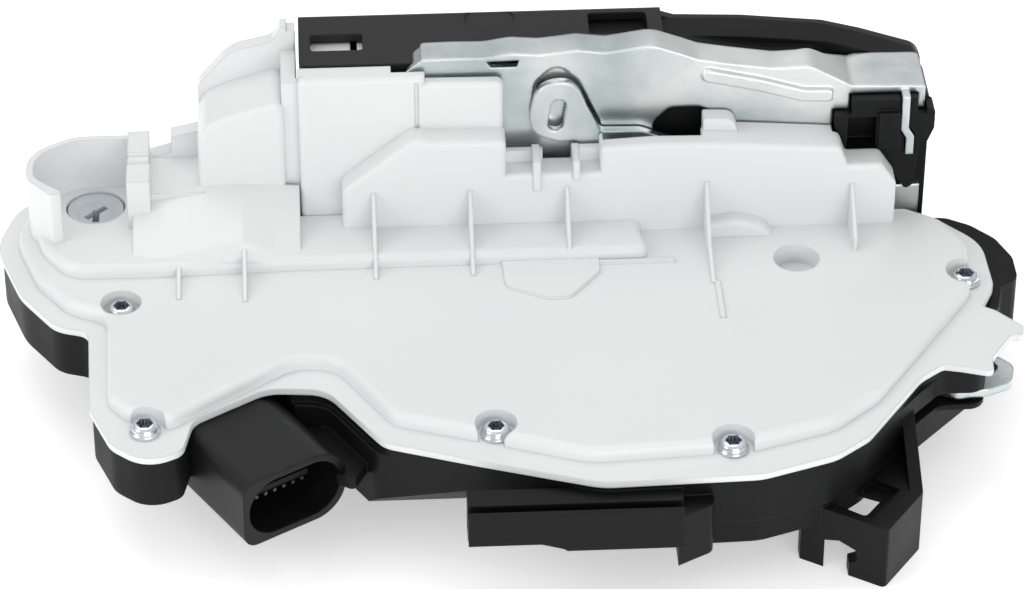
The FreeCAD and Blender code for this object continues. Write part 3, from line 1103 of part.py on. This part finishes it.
def coil(x, z, radius, low, turns, pitch):
    """A torsion spring wound round a boss, along Y."""
    helix = Part.makeHelix(pitch, pitch * turns, radius)
    section = Part.Wire(Part.makeCircle(COIL_WIRE, V(radius, 0, 0), V(0, 1, 0)))
    spring = Part.Wire(helix).makePipeShell([section], True, True)
    spring.rotate(V(0, 0, 0), V(1, 0, 0), -90)
    spring.translate(V(x, low, z))
    return spring


def slot_buffer():
    """The rubber stop at the end of the striker's channel."""
    half = SLOT_WIDTH / 2
    low = BACK_FRONT + SHEET + FRAME_FLOOR
    stop = [(SLOT_X - half, CHANNEL_TOP), (SLOT_X - half, 9, 1), (SLOT_X - 2.5, 10.4, 2), (SLOT_X + 2.5, 10.4, 2),
            (SLOT_X + half, 9, 1), (SLOT_X + half, CHANNEL_TOP)]
    return prism(stop, low, FORK_FRONT_Y - 1.6, "xz")


def latch_screws():
    """Screws that hold the latch unit to the housing's lugs, driven from inside."""
    made = []
    wall = COVER_BACK - HOUSING_WALL
    for x, z in LATCH_SCREWS:
        head = rod(x, wall - 2.0, z, 3.4, 2.0, "y")
        shank = rod(x, wall - 0.5, z, LATCH_SCREW_R, 13.0, "y")
        made.append(head.fuse(shank).removeSplitter())
    return Part.makeCompound(made)


def build():
    save("front_cover", front_cover())
    save("rear_housing", rear_housing())
    save("cover_seal", cover_seal())
    save("cover_screws", cover_screws())
    save("connector_shell", connector_shell())
    save("connector_pins", connector_pins())
    save("connector_seal", connector_seal())
    save("face_plate", face_plate())
    save("latch_frame", latch_frame())
    save("back_plate", back_plate())
    save("slot_buffer", slot_buffer())
    save("fork_bolt", opened(fork_steel()))
    save("fork_jacket", opened(fork_jacket()))
    save("fork_pin", pivot_pin(FORK_X, FORK_Z, PIN_R, 5.4))
    save("fork_spring", coil(FORK_X, FORK_Z, 7.1, BACK_FRONT + 5.2, 4, 1.7))
    save("pawl", pawl())
    save("pawl_pin", pivot_pin(PAWL_X, PAWL_Z, PAWL_PIN_R, 4.3))
    save("pawl_spring", coil(PAWL_X, PAWL_Z, 6.6, BACK_FRONT + 5.2, 4, 1.7))
    save("latch_screws", latch_screws())
    save("outer_lever", outer_lever())
    save("outer_pin", outer_pin())
    save("inner_lever", inner_lever())
    save("key_follower", key_follower())
    save("key_link", key_link())
    for name, place, way in (("lock", (LOCK_WORM[0] + WORM_LENGTH + 0.6, LOCK_WORM[1]), -1),
                             ("safe", (SAFE_WORM[0] - 0.6, SAFE_WORM[1]), 1)):
        can, bell, shaft = motor(place[0] + (MOTOR_NECK if way < 0 else -MOTOR_NECK), place[1], way)
        save(name + "_motor", can)
        save(name + "_motor_end", bell)
        save(name + "_shaft", shaft)
    save("lock_worm", worm(*LOCK_WORM))
    save("safe_worm", worm(*SAFE_WORM))
    save("lock_wheel", wheel(LOCK_WHEEL_X, LOCK_WHEEL_Y, mesh_angle(1), LOCK_PIVOT_ANGLE + 15))
    save("safe_wheel", wheel(SAFE_WHEEL_X, SAFE_WHEEL_Y, mesh_angle(-1), SAFE_PIVOT_ANGLE + 15))
    save("lock_lever", toothed_lever(LOCK_X, LOCK_Y, LOCK_PIVOT_ANGLE + 180, 165, 20.5))
    save("safe_lever", toothed_lever(SAFE_X, SAFE_Y, SAFE_PIVOT_ANGLE + 180, 120, 14.0))
    save("retaining_clips", retaining_clips())
    save("contact_carrier", contact_carrier())
    save("contact_tracks", contact_tracks())
    for i, place in enumerate(SWITCHES):
        save("switch_%d" % (i + 1), switch_case(*place))
        save("switch_%d_button" % (i + 1), switch_button(*place))


build()
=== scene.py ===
import math
import bmesh
import bpy
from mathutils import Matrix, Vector


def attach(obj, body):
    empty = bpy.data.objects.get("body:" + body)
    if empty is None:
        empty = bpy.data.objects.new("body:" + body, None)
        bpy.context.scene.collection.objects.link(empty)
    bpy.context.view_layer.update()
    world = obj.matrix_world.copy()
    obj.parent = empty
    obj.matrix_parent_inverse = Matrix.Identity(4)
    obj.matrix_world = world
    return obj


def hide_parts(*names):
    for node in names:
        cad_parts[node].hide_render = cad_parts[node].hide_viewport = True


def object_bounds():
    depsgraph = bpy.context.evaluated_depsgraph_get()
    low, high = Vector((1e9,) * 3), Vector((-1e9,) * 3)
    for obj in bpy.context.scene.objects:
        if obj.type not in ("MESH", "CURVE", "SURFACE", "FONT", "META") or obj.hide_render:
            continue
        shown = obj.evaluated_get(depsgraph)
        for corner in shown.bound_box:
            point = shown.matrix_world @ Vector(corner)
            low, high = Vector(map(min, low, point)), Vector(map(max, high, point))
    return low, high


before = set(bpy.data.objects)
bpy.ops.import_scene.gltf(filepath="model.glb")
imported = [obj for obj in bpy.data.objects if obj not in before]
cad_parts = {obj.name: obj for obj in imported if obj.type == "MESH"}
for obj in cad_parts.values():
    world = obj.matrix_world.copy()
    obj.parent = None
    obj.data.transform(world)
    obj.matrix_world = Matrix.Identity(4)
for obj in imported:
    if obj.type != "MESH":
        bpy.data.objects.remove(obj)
cad_box = [list(corner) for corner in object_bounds()]
MM = 0.001

# Rear housing
# The black lower shell: glass-filled plastic, moulded with a fine even grain. The clip frame,
# the rail and the screw lugs of the latch unit are one piece with it.
HOUSING_BLACK = (0.005, 0.0051, 0.0054, 1)
HOUSING_WORN = (0.009, 0.0091, 0.0095, 1)
HOUSING_RUBBED = (0.03, 0.03, 0.031, 1)
HOUSING_ROUGH = (0.38, 0.56)
GRAIN_DISTANCE = 0.1 * MM
SKIN_SAMPLES = 6
WEAR_SAMPLES = 4
WEAR_PATCHES = 250
WEAR_FLAT = 0.99
WEAR_SHARP = 0.86
MASK_SPAN = (0.35, 0.65)
MIX_BELOW = 6
MIX_ABOVE = 7
MIX_COLOUR = 2


def socket(group, name, way, kind="NodeSocketFloat"):
    """One named input or output of a node group."""
    group.interface.new_socket(name=name, in_out=way, socket_type=kind)


def noise(tree, vector, detail, scale=None):
    """A noise texture on the given coordinates."""
    node = tree.nodes.new("ShaderNodeTexNoise")
    node.inputs["Detail"].default_value = detail
    if scale is not None:
        node.inputs["Scale"].default_value = scale
    tree.links.new(vector, node.inputs["Vector"])
    return node


def moulded_skin():
    """Rounds every edge a little and adds the mould's grain; gives a normal and a slow mask."""
    group = bpy.data.node_groups.new("moulded_skin", "ShaderNodeTree")
    for name in ("Edge", "Grain", "Depth", "Flow"):
        socket(group, name, "INPUT")
    socket(group, "Normal", "OUTPUT", "NodeSocketVector")
    socket(group, "Mask", "OUTPUT")
    link = group.links.new
    start = group.nodes.new("NodeGroupInput")
    end = group.nodes.new("NodeGroupOutput")
    place = group.nodes.new("ShaderNodeTexCoord")
    edge = group.nodes.new("ShaderNodeBevel")
    edge.samples = SKIN_SAMPLES
    grain = noise(group, place.outputs["Object"], detail=3)
    flow = noise(group, place.outputs["Object"], detail=4)
    bump = group.nodes.new("ShaderNodeBump")
    bump.inputs["Distance"].default_value = GRAIN_DISTANCE
    link(start.outputs["Edge"], edge.inputs["Radius"])
    link(start.outputs["Grain"], grain.inputs["Scale"])
    link(start.outputs["Flow"], flow.inputs["Scale"])
    link(grain.outputs["Fac"], bump.inputs["Height"])
    link(start.outputs["Depth"], bump.inputs["Strength"])
    link(edge.outputs["Normal"], bump.inputs["Normal"])
    link(bump.outputs["Normal"], end.inputs["Normal"])
    link(flow.outputs["Fac"], end.inputs["Mask"])
    return group


def edge_wear():
    """A mask that is bright where the rounded normal leaves the shape's, broken up by noise."""
    group = bpy.data.node_groups.new("edge_wear", "ShaderNodeTree")
    socket(group, "Width", "INPUT")
    socket(group, "Patches", "INPUT")
    socket(group, "Wear", "OUTPUT")
    link = group.links.new
    start = group.nodes.new("NodeGroupInput")
    end = group.nodes.new("NodeGroupOutput")
    place = group.nodes.new("ShaderNodeTexCoord")
    shape = group.nodes.new("ShaderNodeNewGeometry")
    edge = group.nodes.new("ShaderNodeBevel")
    edge.samples = WEAR_SAMPLES
    same = group.nodes.new("ShaderNodeVectorMath")
    same.operation = "DOT_PRODUCT"
    bent = group.nodes.new("ShaderNodeMapRange")
    bent.inputs["From Min"].default_value = WEAR_FLAT
    bent.inputs["From Max"].default_value = WEAR_SHARP
    patches = noise(group, place.outputs["Object"], detail=5)
    both = group.nodes.new("ShaderNodeMath")
    both.operation = "MULTIPLY"
    link(start.outputs["Width"], edge.inputs["Radius"])
    link(start.outputs["Patches"], patches.inputs["Scale"])
    link(edge.outputs["Normal"], same.inputs[0])
    link(shape.outputs["Normal"], same.inputs[1])
    link(same.outputs["Value"], bent.inputs["Value"])
    link(bent.outputs["Result"], both.inputs[0])
    link(patches.outputs["Fac"], both.inputs[1])
    link(both.outputs["Value"], end.inputs["Wear"])
    return group


SKIN = moulded_skin()
WEAR = edge_wear()


def finish(name, metallic=0.0):
    """A material and its Principled shader, ready to be wired."""
    material = bpy.data.materials.new(name)
    material.use_nodes = True
    shader = material.node_tree.nodes["Principled BSDF"]
    shader.inputs["Metallic"].default_value = metallic
    return material, shader


def placed(tree, group, **values):
    """A node group in a material, with its own values."""
    node = tree.nodes.new("ShaderNodeGroup")
    node.node_tree = group
    for name, value in values.items():
        node.inputs[name].default_value = value
    return node


def between(tree, mask, span, out, wide=MASK_SPAN):
    """Lets a mask move a value across a span."""
    node = tree.nodes.new("ShaderNodeMapRange")
    node.inputs["From Min"].default_value = wide[0]
    node.inputs["From Max"].default_value = wide[1]
    node.inputs["To Min"].default_value = span[0]
    node.inputs["To Max"].default_value = span[1]
    tree.links.new(mask, node.inputs["Value"])
    tree.links.new(node.outputs["Result"], out)


def tint(tree, mask, first, second, wide=MASK_SPAN):
    """Lets a mask move a colour from the first to the second."""
    ramp = tree.nodes.new("ShaderNodeValToRGB")
    ramp.color_ramp.elements[0].position = wide[0]
    ramp.color_ramp.elements[0].color = first
    ramp.color_ramp.elements[1].position = wide[1]
    ramp.color_ramp.elements[1].color = second
    tree.links.new(mask, ramp.inputs["Fac"])
    return ramp.outputs["Color"]


def over(tree, mask, below, colour):
    """Puts a colour over another where a mask is bright."""
    mix = tree.nodes.new("ShaderNodeMix")
    mix.data_type = "RGBA"
    tree.links.new(mask, mix.inputs["Factor"])
    tree.links.new(below, mix.inputs[MIX_BELOW])
    mix.inputs[MIX_ABOVE].default_value = colour
    return mix.outputs[MIX_COLOUR]


def plastic(name, first, second, rough, edge=0.4, grain=1500, depth=0.1, flow=40, specular=0.3, worn=None):
    """Moulded plastic: two near colours, a roughness range, edge radius in mm, grain, worn edges."""
    material, shader = finish(name)
    tree = material.node_tree
    skin = placed(tree, SKIN, Edge=edge * MM, Grain=grain, Depth=depth, Flow=flow)
    colour = tint(tree, skin.outputs["Mask"], first, second)
    if worn:
        wear = placed(tree, WEAR, Width=edge * MM, Patches=WEAR_PATCHES)
        colour = over(tree, wear.outputs["Wear"], colour, worn)
    tree.links.new(colour, shader.inputs["Base Color"])
    between(tree, skin.outputs["Mask"], rough, shader.inputs["Roughness"])
    tree.links.new(skin.outputs["Normal"], shader.inputs["Normal"])
    shader.inputs["Specular IOR Level"].default_value = specular
    return material


def dress(material, *names):
    """Gives a material to CAD pieces whose shape is kept."""
    for name in names:
        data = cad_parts[name].data
        data.materials.clear()
        data.materials.append(material)
        for face in data.polygons:
            face.material_index = 0


housing_plastic = plastic("housing_black", HOUSING_BLACK, HOUSING_WORN, HOUSING_ROUGH, edge=0.45, depth=0.14,
                          specular=0.16, worn=HOUSING_RUBBED)
dress(housing_plastic, "rear_housing")

# Motors and worms
# Two small can motors lie in pockets of the housing. Each has a drawn steel can, a moulded end
# bell and a shaft that carries a steel worm.
CAN_DULL = (0.56, 0.56, 0.55, 1)
CAN_BRIGHT = (0.66, 0.66, 0.66, 1)
STEEL_DULL = (0.42, 0.42, 0.42, 1)
STEEL_BRIGHT = (0.55, 0.55, 0.54, 1)
MOULDING = (0.02, 0.02, 0.022, 1)
MOULDING_PALE = (0.028, 0.028, 0.03, 1)
LINE_SCALE = 260
METAL_GRAIN = 900
METAL_SPAN = (0.38, 0.62)


def drawn_lines(tree, stretch):
    """Fine lines along one way, as rolling or drawing leaves them."""
    place = tree.nodes.new("ShaderNodeTexCoord")
    turn = tree.nodes.new("ShaderNodeMapping")
    turn.inputs["Scale"].default_value = stretch
    tree.links.new(place.outputs["Object"], turn.inputs["Vector"])
    return noise(tree, turn.outputs["Vector"], detail=5, scale=LINE_SCALE).outputs["Fac"]


def metal(name, first, second, rough, edge=0.3, cloud=60, stretch=(1, 1, 1), scratch=0.06):
    """Metal with clouds of two tones and fine drawn lines along one way."""
    material, shader = finish(name, metallic=1.0)
    tree = material.node_tree
    skin = placed(tree, SKIN, Edge=edge * MM, Grain=METAL_GRAIN, Depth=scratch, Flow=cloud)
    half = tree.nodes.new("ShaderNodeMix")
    half.inputs["Factor"].default_value = 0.5
    tree.links.new(drawn_lines(tree, stretch), half.inputs["A"])
    tree.links.new(skin.outputs["Mask"], half.inputs["B"])
    colour = tint(tree, skin.outputs["Mask"], first, second, METAL_SPAN)
    tree.links.new(colour, shader.inputs["Base Color"])
    between(tree, half.outputs["Result"], rough, shader.inputs["Roughness"], METAL_SPAN)
    tree.links.new(skin.outputs["Normal"], shader.inputs["Normal"])
    return material


can_steel = metal("drawn_can", CAN_DULL, CAN_BRIGHT, (0.24, 0.4), stretch=(0.05, 1, 1))
bright_steel = metal("blanked_steel", STEEL_DULL, STEEL_BRIGHT, (0.28, 0.45), edge=0.25)
dark_moulding = plastic("dark_moulding", MOULDING, MOULDING_PALE, (0.4, 0.55), edge=0.15)
dress(can_steel, "lock_motor", "safe_motor")
dress(dark_moulding, "lock_motor_end", "safe_motor_end")
dress(bright_steel, "lock_worm", "safe_worm", "lock_shaft", "safe_shaft")

# Wheels, toothed levers and key rod
# Moulded in milky acetal. Each worm turns a wheel on a post of the housing, and the wheel's
# pinion swings a toothed lever. A flat rod carries the key's turn to the lock lever.
ACETAL = (0.72, 0.69, 0.6, 1)
ACETAL_PALE = (0.8, 0.77, 0.69, 1)
ACETAL_GLOW = 0.15
ACETAL_DEPTH = 1.5 * MM
natural = plastic("milky_acetal", ACETAL, ACETAL_PALE, (0.3, 0.42), edge=0.2, depth=0.04)
natural.node_tree.nodes["Principled BSDF"].inputs["Subsurface Weight"].default_value = ACETAL_GLOW
natural.node_tree.nodes["Principled BSDF"].inputs["Subsurface Scale"].default_value = ACETAL_DEPTH
dress(natural, "lock_wheel", "safe_wheel", "lock_lever", "safe_lever", "key_link")

# Retaining washers
# Push-on washers of thin sheet steel keep the levers on their posts. They are zinc plated to the
# same bright bluish silver as the lock's screws.
ZINC_BLUE = (0.6, 0.66, 0.72, 1)
ZINC_BRIGHT = (0.82, 0.85, 0.88, 1)
screw_zinc = metal("screw_zinc", ZINC_BLUE, ZINC_BRIGHT, (0.12, 0.24), edge=0.12, cloud=300, scratch=0.03)
dress(screw_zinc, "retaining_clips")

# Contact carrier and switches
# A thin moulded tray carries stamped copper strips over the motors to three small switches,
# whose cases and buttons are moulded in dark plastic.
COPPER_DULL = (0.62, 0.36, 0.2, 1)
COPPER_BRIGHT = (0.72, 0.5, 0.33, 1)
copper = metal("stamped_copper", COPPER_DULL, COPPER_BRIGHT, (0.25, 0.4), edge=0.1)
dress(natural, "contact_carrier")
dress(copper, "contact_tracks")
for switch in ("switch_1", "switch_2", "switch_3"):
    dress(dark_moulding, switch, switch + "_button")

# Plug
# The plug shroud is moulded in black with a stadium mouth, a blade across its middle and two rows
# of tinned pins behind it. A flat rubber ring lies at the bottom of the socket.
PLUG_BLACK = (0.008, 0.008, 0.0085, 1)
PLUG_SHEEN = (0.013, 0.013, 0.0135, 1)
TIN_DULL = (0.4, 0.4, 0.4, 1)
TIN_BRIGHT = (0.5, 0.5, 0.49, 1)
RUBBER = (0.012, 0.012, 0.012, 1)
RUBBER_PALE = (0.02, 0.02, 0.02, 1)
plug_plastic = plastic("plug_black", PLUG_BLACK, PLUG_SHEEN, (0.34, 0.46), edge=0.5, specular=0.22)
tin = metal("tinned_pin", TIN_DULL, TIN_BRIGHT, (0.3, 0.45), edge=0.1)
rubber = plastic("seal_rubber", RUBBER, RUBBER_PALE, (0.6, 0.75), edge=0.2, depth=0.2)
dress(plug_plastic, "connector_shell")
dress(tin, "connector_pins")
dress(rubber, "connector_seal")

# Cover and seal
# The white cover: smooth satin plastic in one moulding, with a raised plateau, thin webs and
# the tall walls towards the latch. A rubber seal lies between it and the housing's rim.
COVER_WHITE = (0.8, 0.81, 0.81, 1)
COVER_SHADE = (0.765, 0.78, 0.782, 1)
cover_plastic = plastic("cover_white", COVER_WHITE, COVER_SHADE, (0.28, 0.4), edge=0.55, grain=700,
                        depth=0.03, flow=14, specular=0.45)
dress(cover_plastic, "front_cover")
dress(rubber, "cover_seal")

# Cover screws
# Five self-tapping screws with a rounded flange head and a six-lobe socket, zinc plated. A step
# is a ring's radius and its height over the head's seat, both in mm.
# The socket's walls and floor are painted a dark blue grey. This is painted shade for the deep six-lobe
# recess, which is really zinc plated like the head.
SOCKET_SHADE_DARK = (0.05, 0.06, 0.09, 1)
SOCKET_SHADE_GREY = (0.14, 0.16, 0.2, 1)
SCREW_SIDES = 48
SCREW_R = 3.05
SOCKET_R = 1.32
SOCKET_LOBES = 6
SOCKET_WAVE = 0.2
SHANK_R = 1.9
TIP_R = 0.4
HEAD_HEIGHT = 2.3
SAME_PLACE = 0.001 * MM
HEAD_STEPS = [
    (TIP_R, -7.2), (SHANK_R, -5.6), (SHANK_R, 0.0), (0.93 * SCREW_R, 0.0), (SCREW_R, 0.16),
    (SCREW_R, 0.62), (0.96 * SCREW_R, 0.82), (0.9 * SCREW_R, 0.92), (0.87 * SCREW_R, 1.3),
    (0.82 * SCREW_R, 1.74), (0.72 * SCREW_R, 2.08), (0.58 * SCREW_R, 2.24), (0.5 * SCREW_R, 2.27),
]
SOCKET_STEPS = [(SOCKET_R * 1.06, 2.28), (SOCKET_R, 2.2), (SOCKET_R * 0.97, 1.0), (0.3, 0.86)]
# A dark metal for the socket faces that stands in for the shade deep in the recess.
socket_painted_shade = metal("socket_painted_shade", SOCKET_SHADE_DARK, SOCKET_SHADE_GREY, (0.3, 0.45), edge=0.08, cloud=300, scratch=0.03)


def ring_step(mesh, ring, centre, radius, level, wave):
    """Extrudes a ring of edges and moves the new ring to its radius, height and lobes."""
    made = bmesh.ops.extrude_edge_only(mesh, edges=ring)["geom"]
    for vert in [item for item in made if isinstance(item, bmesh.types.BMVert)]:
        angle = math.atan2(vert.co.y - centre.y, vert.co.x - centre.x)
        reach = radius * (1 + wave * math.cos(SOCKET_LOBES * angle)) * MM
        vert.co = centre + Vector((math.cos(angle) * reach, math.sin(angle) * reach, level * MM))
    return [item for item in made if isinstance(item, bmesh.types.BMEdge)]


def screw_head(mesh, centre):
    """One screw, from its tip over the dome and down into the socket, whose faces take the painted shade."""
    start = bmesh.ops.create_circle(mesh, segments=SCREW_SIDES, radius=TIP_R * MM)["verts"]
    bmesh.ops.translate(mesh, verts=start, vec=centre + Vector((0, 0, HEAD_STEPS[0][1] * MM)))
    ring = list(dict.fromkeys(edge for vert in start for edge in vert.link_edges))
    mesh.faces.new(start)
    for radius, level in HEAD_STEPS:
        ring = ring_step(mesh, ring, centre, radius, level, 0)
    dome = set(mesh.faces)
    for radius, level in SOCKET_STEPS:
        ring = ring_step(mesh, ring, centre, radius, level, SOCKET_WAVE)
    bmesh.ops.holes_fill(mesh, edges=ring)
    # The socket's faces take the second material, the painted shade of the recess.
    for face in set(mesh.faces) - dome:
        face.material_index = 1


def screw_places():
    """The middle of each head's seat, found from the loose shells of the CAD screws."""
    source = bmesh.new()
    source.from_mesh(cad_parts["cover_screws"].data)
    bmesh.ops.remove_doubles(source, verts=source.verts, dist=SAME_PLACE)
    left = set(source.verts)
    places = []
    while left:
        shell = {left.pop()}
        front = set(shell)
        while front:
            front = {other for vert in front for link in vert.link_edges for other in link.verts} & left
            left -= front
            shell |= front
        low = [min(vert.co[axis] for vert in shell) for axis in range(3)]
        high = [max(vert.co[axis] for vert in shell) for axis in range(3)]
        places.append(Vector(((low[0] + high[0]) / 2, (low[1] + high[1]) / 2, high[2] - HEAD_HEIGHT * MM)))
    source.free()
    return sorted(places, key=lambda place: place.x)


def as_data(name, mesh):
    """Turns a finished mesh under edit into mesh data."""
    data = bpy.data.meshes.new(name)
    mesh.to_mesh(data)
    mesh.free()
    return data


def show(name, data):
    """Puts a mesh, a lamp or a camera into the scene."""
    item = bpy.data.objects.new(name, data)
    bpy.context.scene.collection.objects.link(item)
    return item


heads = bmesh.new()
for place in screw_places():
    screw_head(heads, place)
bmesh.ops.recalc_face_normals(heads, faces=heads.faces)
for face in heads.faces:
    face.smooth = len(face.verts) == 4
heads_data = as_data("cover_screw_heads", heads)
heads_data.materials.append(screw_zinc)
# The second slot holds the painted shade for the sockets.
heads_data.materials.append(socket_painted_shade)
cover_screw_heads = show("cover_screw_heads", heads_data)
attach(cover_screw_heads, "case")
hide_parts("cover_screws")

# Face plate
# The steel plate that is bolted to the door's rear edge, coated black. Its upper edge is folded
# into a flange over the latch.
PAINT = (0.014, 0.014, 0.015, 1)
PAINT_PALE = (0.02, 0.02, 0.021, 1)
plate_paint = plastic("coated_steel", PAINT, PAINT_PALE, (0.3, 0.42), edge=0.6, grain=600, depth=0.06,
                      specular=0.25)
dress(plate_paint, "face_plate")

# Latch body
# The catch and the pawl lie in a body moulded in the housing's plastic. A rubber stop closes the
# end of the striker's channel.
dress(housing_plastic, "latch_frame")
dress(rubber, "slot_buffer")

# Catch and pawl
# Both are blanked from steel, and each turns on a zinc plated pin against a coil spring. A black
# moulded jacket over the catch's jaws quietens the striker.
dress(bright_steel, "fork_bolt", "pawl", "fork_spring", "pawl_spring")
dress(plug_plastic, "fork_jacket")
dress(screw_zinc, "fork_pin", "pawl_pin")

# Back plate and levers
# Pressed from bright zinc plated sheet: the plate on the front of the latch body with its wavy
# folded edge, and the two cable levers. Three screws hold the latch unit to the housing.
SHEET_DULL = (0.5, 0.585, 0.585, 1)
SHEET_BRIGHT = (0.82, 0.84, 0.83, 1)
PRESS_CENTRE = (-30 * MM, 0, -20 * MM)
PRESS_RINGS = 190
PRESS_DEPTH = 0.02 * MM
PRESS_STRENGTH = 0.5
PRESS_DISTORTION = 3
PRESS_PATCHES = 55
PRESS_SPAN = (0.5, 0.7)
sheet_zinc = metal("sheet_zinc", SHEET_DULL, SHEET_BRIGHT, (0.22, 0.38), edge=0.7, cloud=38,
                   stretch=(0.06, 1, 1))


def press_marks(material):
    """Faint arcs that the press leaves in the plated sheet, in soft patches."""
    tree = material.node_tree
    shader = tree.nodes["Principled BSDF"]
    before = shader.inputs["Normal"].links[0].from_socket
    place = tree.nodes.new("ShaderNodeTexCoord")
    shift = tree.nodes.new("ShaderNodeMapping")
    shift.inputs["Location"].default_value = PRESS_CENTRE
    rings = tree.nodes.new("ShaderNodeTexWave")
    rings.wave_type = "RINGS"
    rings.rings_direction = "Y"
    rings.inputs["Scale"].default_value = PRESS_RINGS
    rings.inputs["Distortion"].default_value = PRESS_DISTORTION
    rings.inputs["Detail"].default_value = 2
    patches = noise(tree, place.outputs["Object"], detail=2, scale=PRESS_PATCHES)
    depth = tree.nodes.new("ShaderNodeMath")
    depth.operation = "MULTIPLY"
    bump = tree.nodes.new("ShaderNodeBump")
    bump.inputs["Distance"].default_value = PRESS_DEPTH
    bump.inputs["Strength"].default_value = PRESS_STRENGTH
    tree.links.new(place.outputs["Object"], shift.inputs["Vector"])
    tree.links.new(shift.outputs["Vector"], rings.inputs["Vector"])
    tree.links.new(rings.outputs["Fac"], depth.inputs[0])
    between(tree, patches.outputs["Fac"], (0, 1), depth.inputs[1], PRESS_SPAN)
    tree.links.new(depth.outputs["Value"], bump.inputs["Height"])
    tree.links.new(before, bump.inputs["Normal"])
    tree.links.new(bump.outputs["Normal"], shader.inputs["Normal"])


press_marks(sheet_zinc)
dress(sheet_zinc, "back_plate", "outer_lever", "inner_lever")
dress(screw_zinc, "latch_screws", "outer_pin")

# Key follower
# The round socket in the collar at the left, moulded in a slightly bluish off-white and turned
# by the key cylinder's tail.
FOLLOWER = (0.55, 0.59, 0.62, 1)
FOLLOWER_PALE = (0.6, 0.63, 0.66, 1)
follower_plastic = plastic("follower_grey", FOLLOWER, FOLLOWER_PALE, (0.32, 0.42), edge=0.3)
dress(follower_plastic, "key_follower")

# Floor and light
# A plain pale floor, three wide soft lamps, and a world that is dimmer near the horizon so that
# bright metal has something to mirror.
CENTRE = Vector((-28, -46, -26)) * MM
FLOOR_REACH = 4.0
FLOOR_WHITE = (0.95, 0.95, 0.95, 1)
FLOOR_GLOW = 0.42
FLOOR_ROUGH = 0.8
WHITE = (1, 1, 1, 1)
SKY_LOW = (0.5, 0.5, 0.51, 1)
SKY_SPAN = (0.05, 0.45)
SKY_STRENGTH = 0.72
floor_mesh = bmesh.new()
bmesh.ops.create_grid(floor_mesh, x_segments=1, y_segments=1, size=FLOOR_REACH)
bmesh.ops.translate(floor_mesh, verts=floor_mesh.verts, vec=(0, 0, cad_box[0][2]))
floor_data = as_data("floor", floor_mesh)
floor = show("floor", floor_data)
floor_material, floor_shader = finish("pale_floor")
floor_shader.inputs["Base Color"].default_value = FLOOR_WHITE
floor_shader.inputs["Emission Color"].default_value = WHITE
floor_shader.inputs["Emission Strength"].default_value = FLOOR_GLOW
floor_shader.inputs["Roughness"].default_value = FLOOR_ROUGH
floor_data.materials.append(floor_material)

world = bpy.data.worlds.new("studio")
bpy.context.scene.world = world
world.use_nodes = True
sky = world.node_tree
sky_place = sky.nodes.new("ShaderNodeTexCoord")
sky_height = sky.nodes.new("ShaderNodeSeparateXYZ")
sky.links.new(sky_place.outputs["Generated"], sky_height.inputs["Vector"])
sky_colour = tint(sky, sky_height.outputs["Z"], SKY_LOW, WHITE, SKY_SPAN)
sky.links.new(sky_colour, sky.nodes["Background"].inputs["Color"])
sky.nodes["Background"].inputs["Strength"].default_value = SKY_STRENGTH


def lamp(name, place, width, height, power):
    """A soft lamp that looks at the lock, placed from its centre in metres."""
    data = bpy.data.lights.new(name, "AREA")
    data.shape = "RECTANGLE"
    data.size = width
    data.size_y = height
    data.energy = power
    item = show(name, data)
    item.location = CENTRE + Vector(place)
    item.rotation_euler = (CENTRE - item.location).to_track_quat("-Z", "Y").to_euler()


lamp("overhead", place=(-0.1, 0.35, 0.9), width=0.9, height=0.6, power=1.9)
lamp("left", place=(-0.8, -0.3, 0.5), width=0.5, height=0.5, power=1.7)
lamp("front", place=(0.3, -1.0, 0.28), width=0.8, height=0.4, power=3.2)

# Camera
# It looks at the lock's middle from where the photograph was taken: in front, a little to the
# left and well above.
DISTANCE = 0.857
TILT = math.radians(36)
YAW = math.radians(-3)
SENSOR = 36
FOCAL_PIXELS = 4200
FRAME_PIXELS = 1024
NEAREST = 0.05
back = Vector((math.sin(YAW) * math.cos(TILT), -math.cos(YAW) * math.cos(TILT), math.sin(TILT)))
view = bpy.data.cameras.new("view")
view.sensor_width = SENSOR
view.lens = SENSOR * FOCAL_PIXELS / FRAME_PIXELS
view.clip_start = NEAREST
camera = show("camera", view)
camera.location = CENTRE + back * DISTANCE
camera.rotation_euler = (-back).to_track_quat("-Z", "Y").to_euler()
bpy.context.scene.camera = camera
bpy.context.scene.view_settings.view_transform = "Standard"
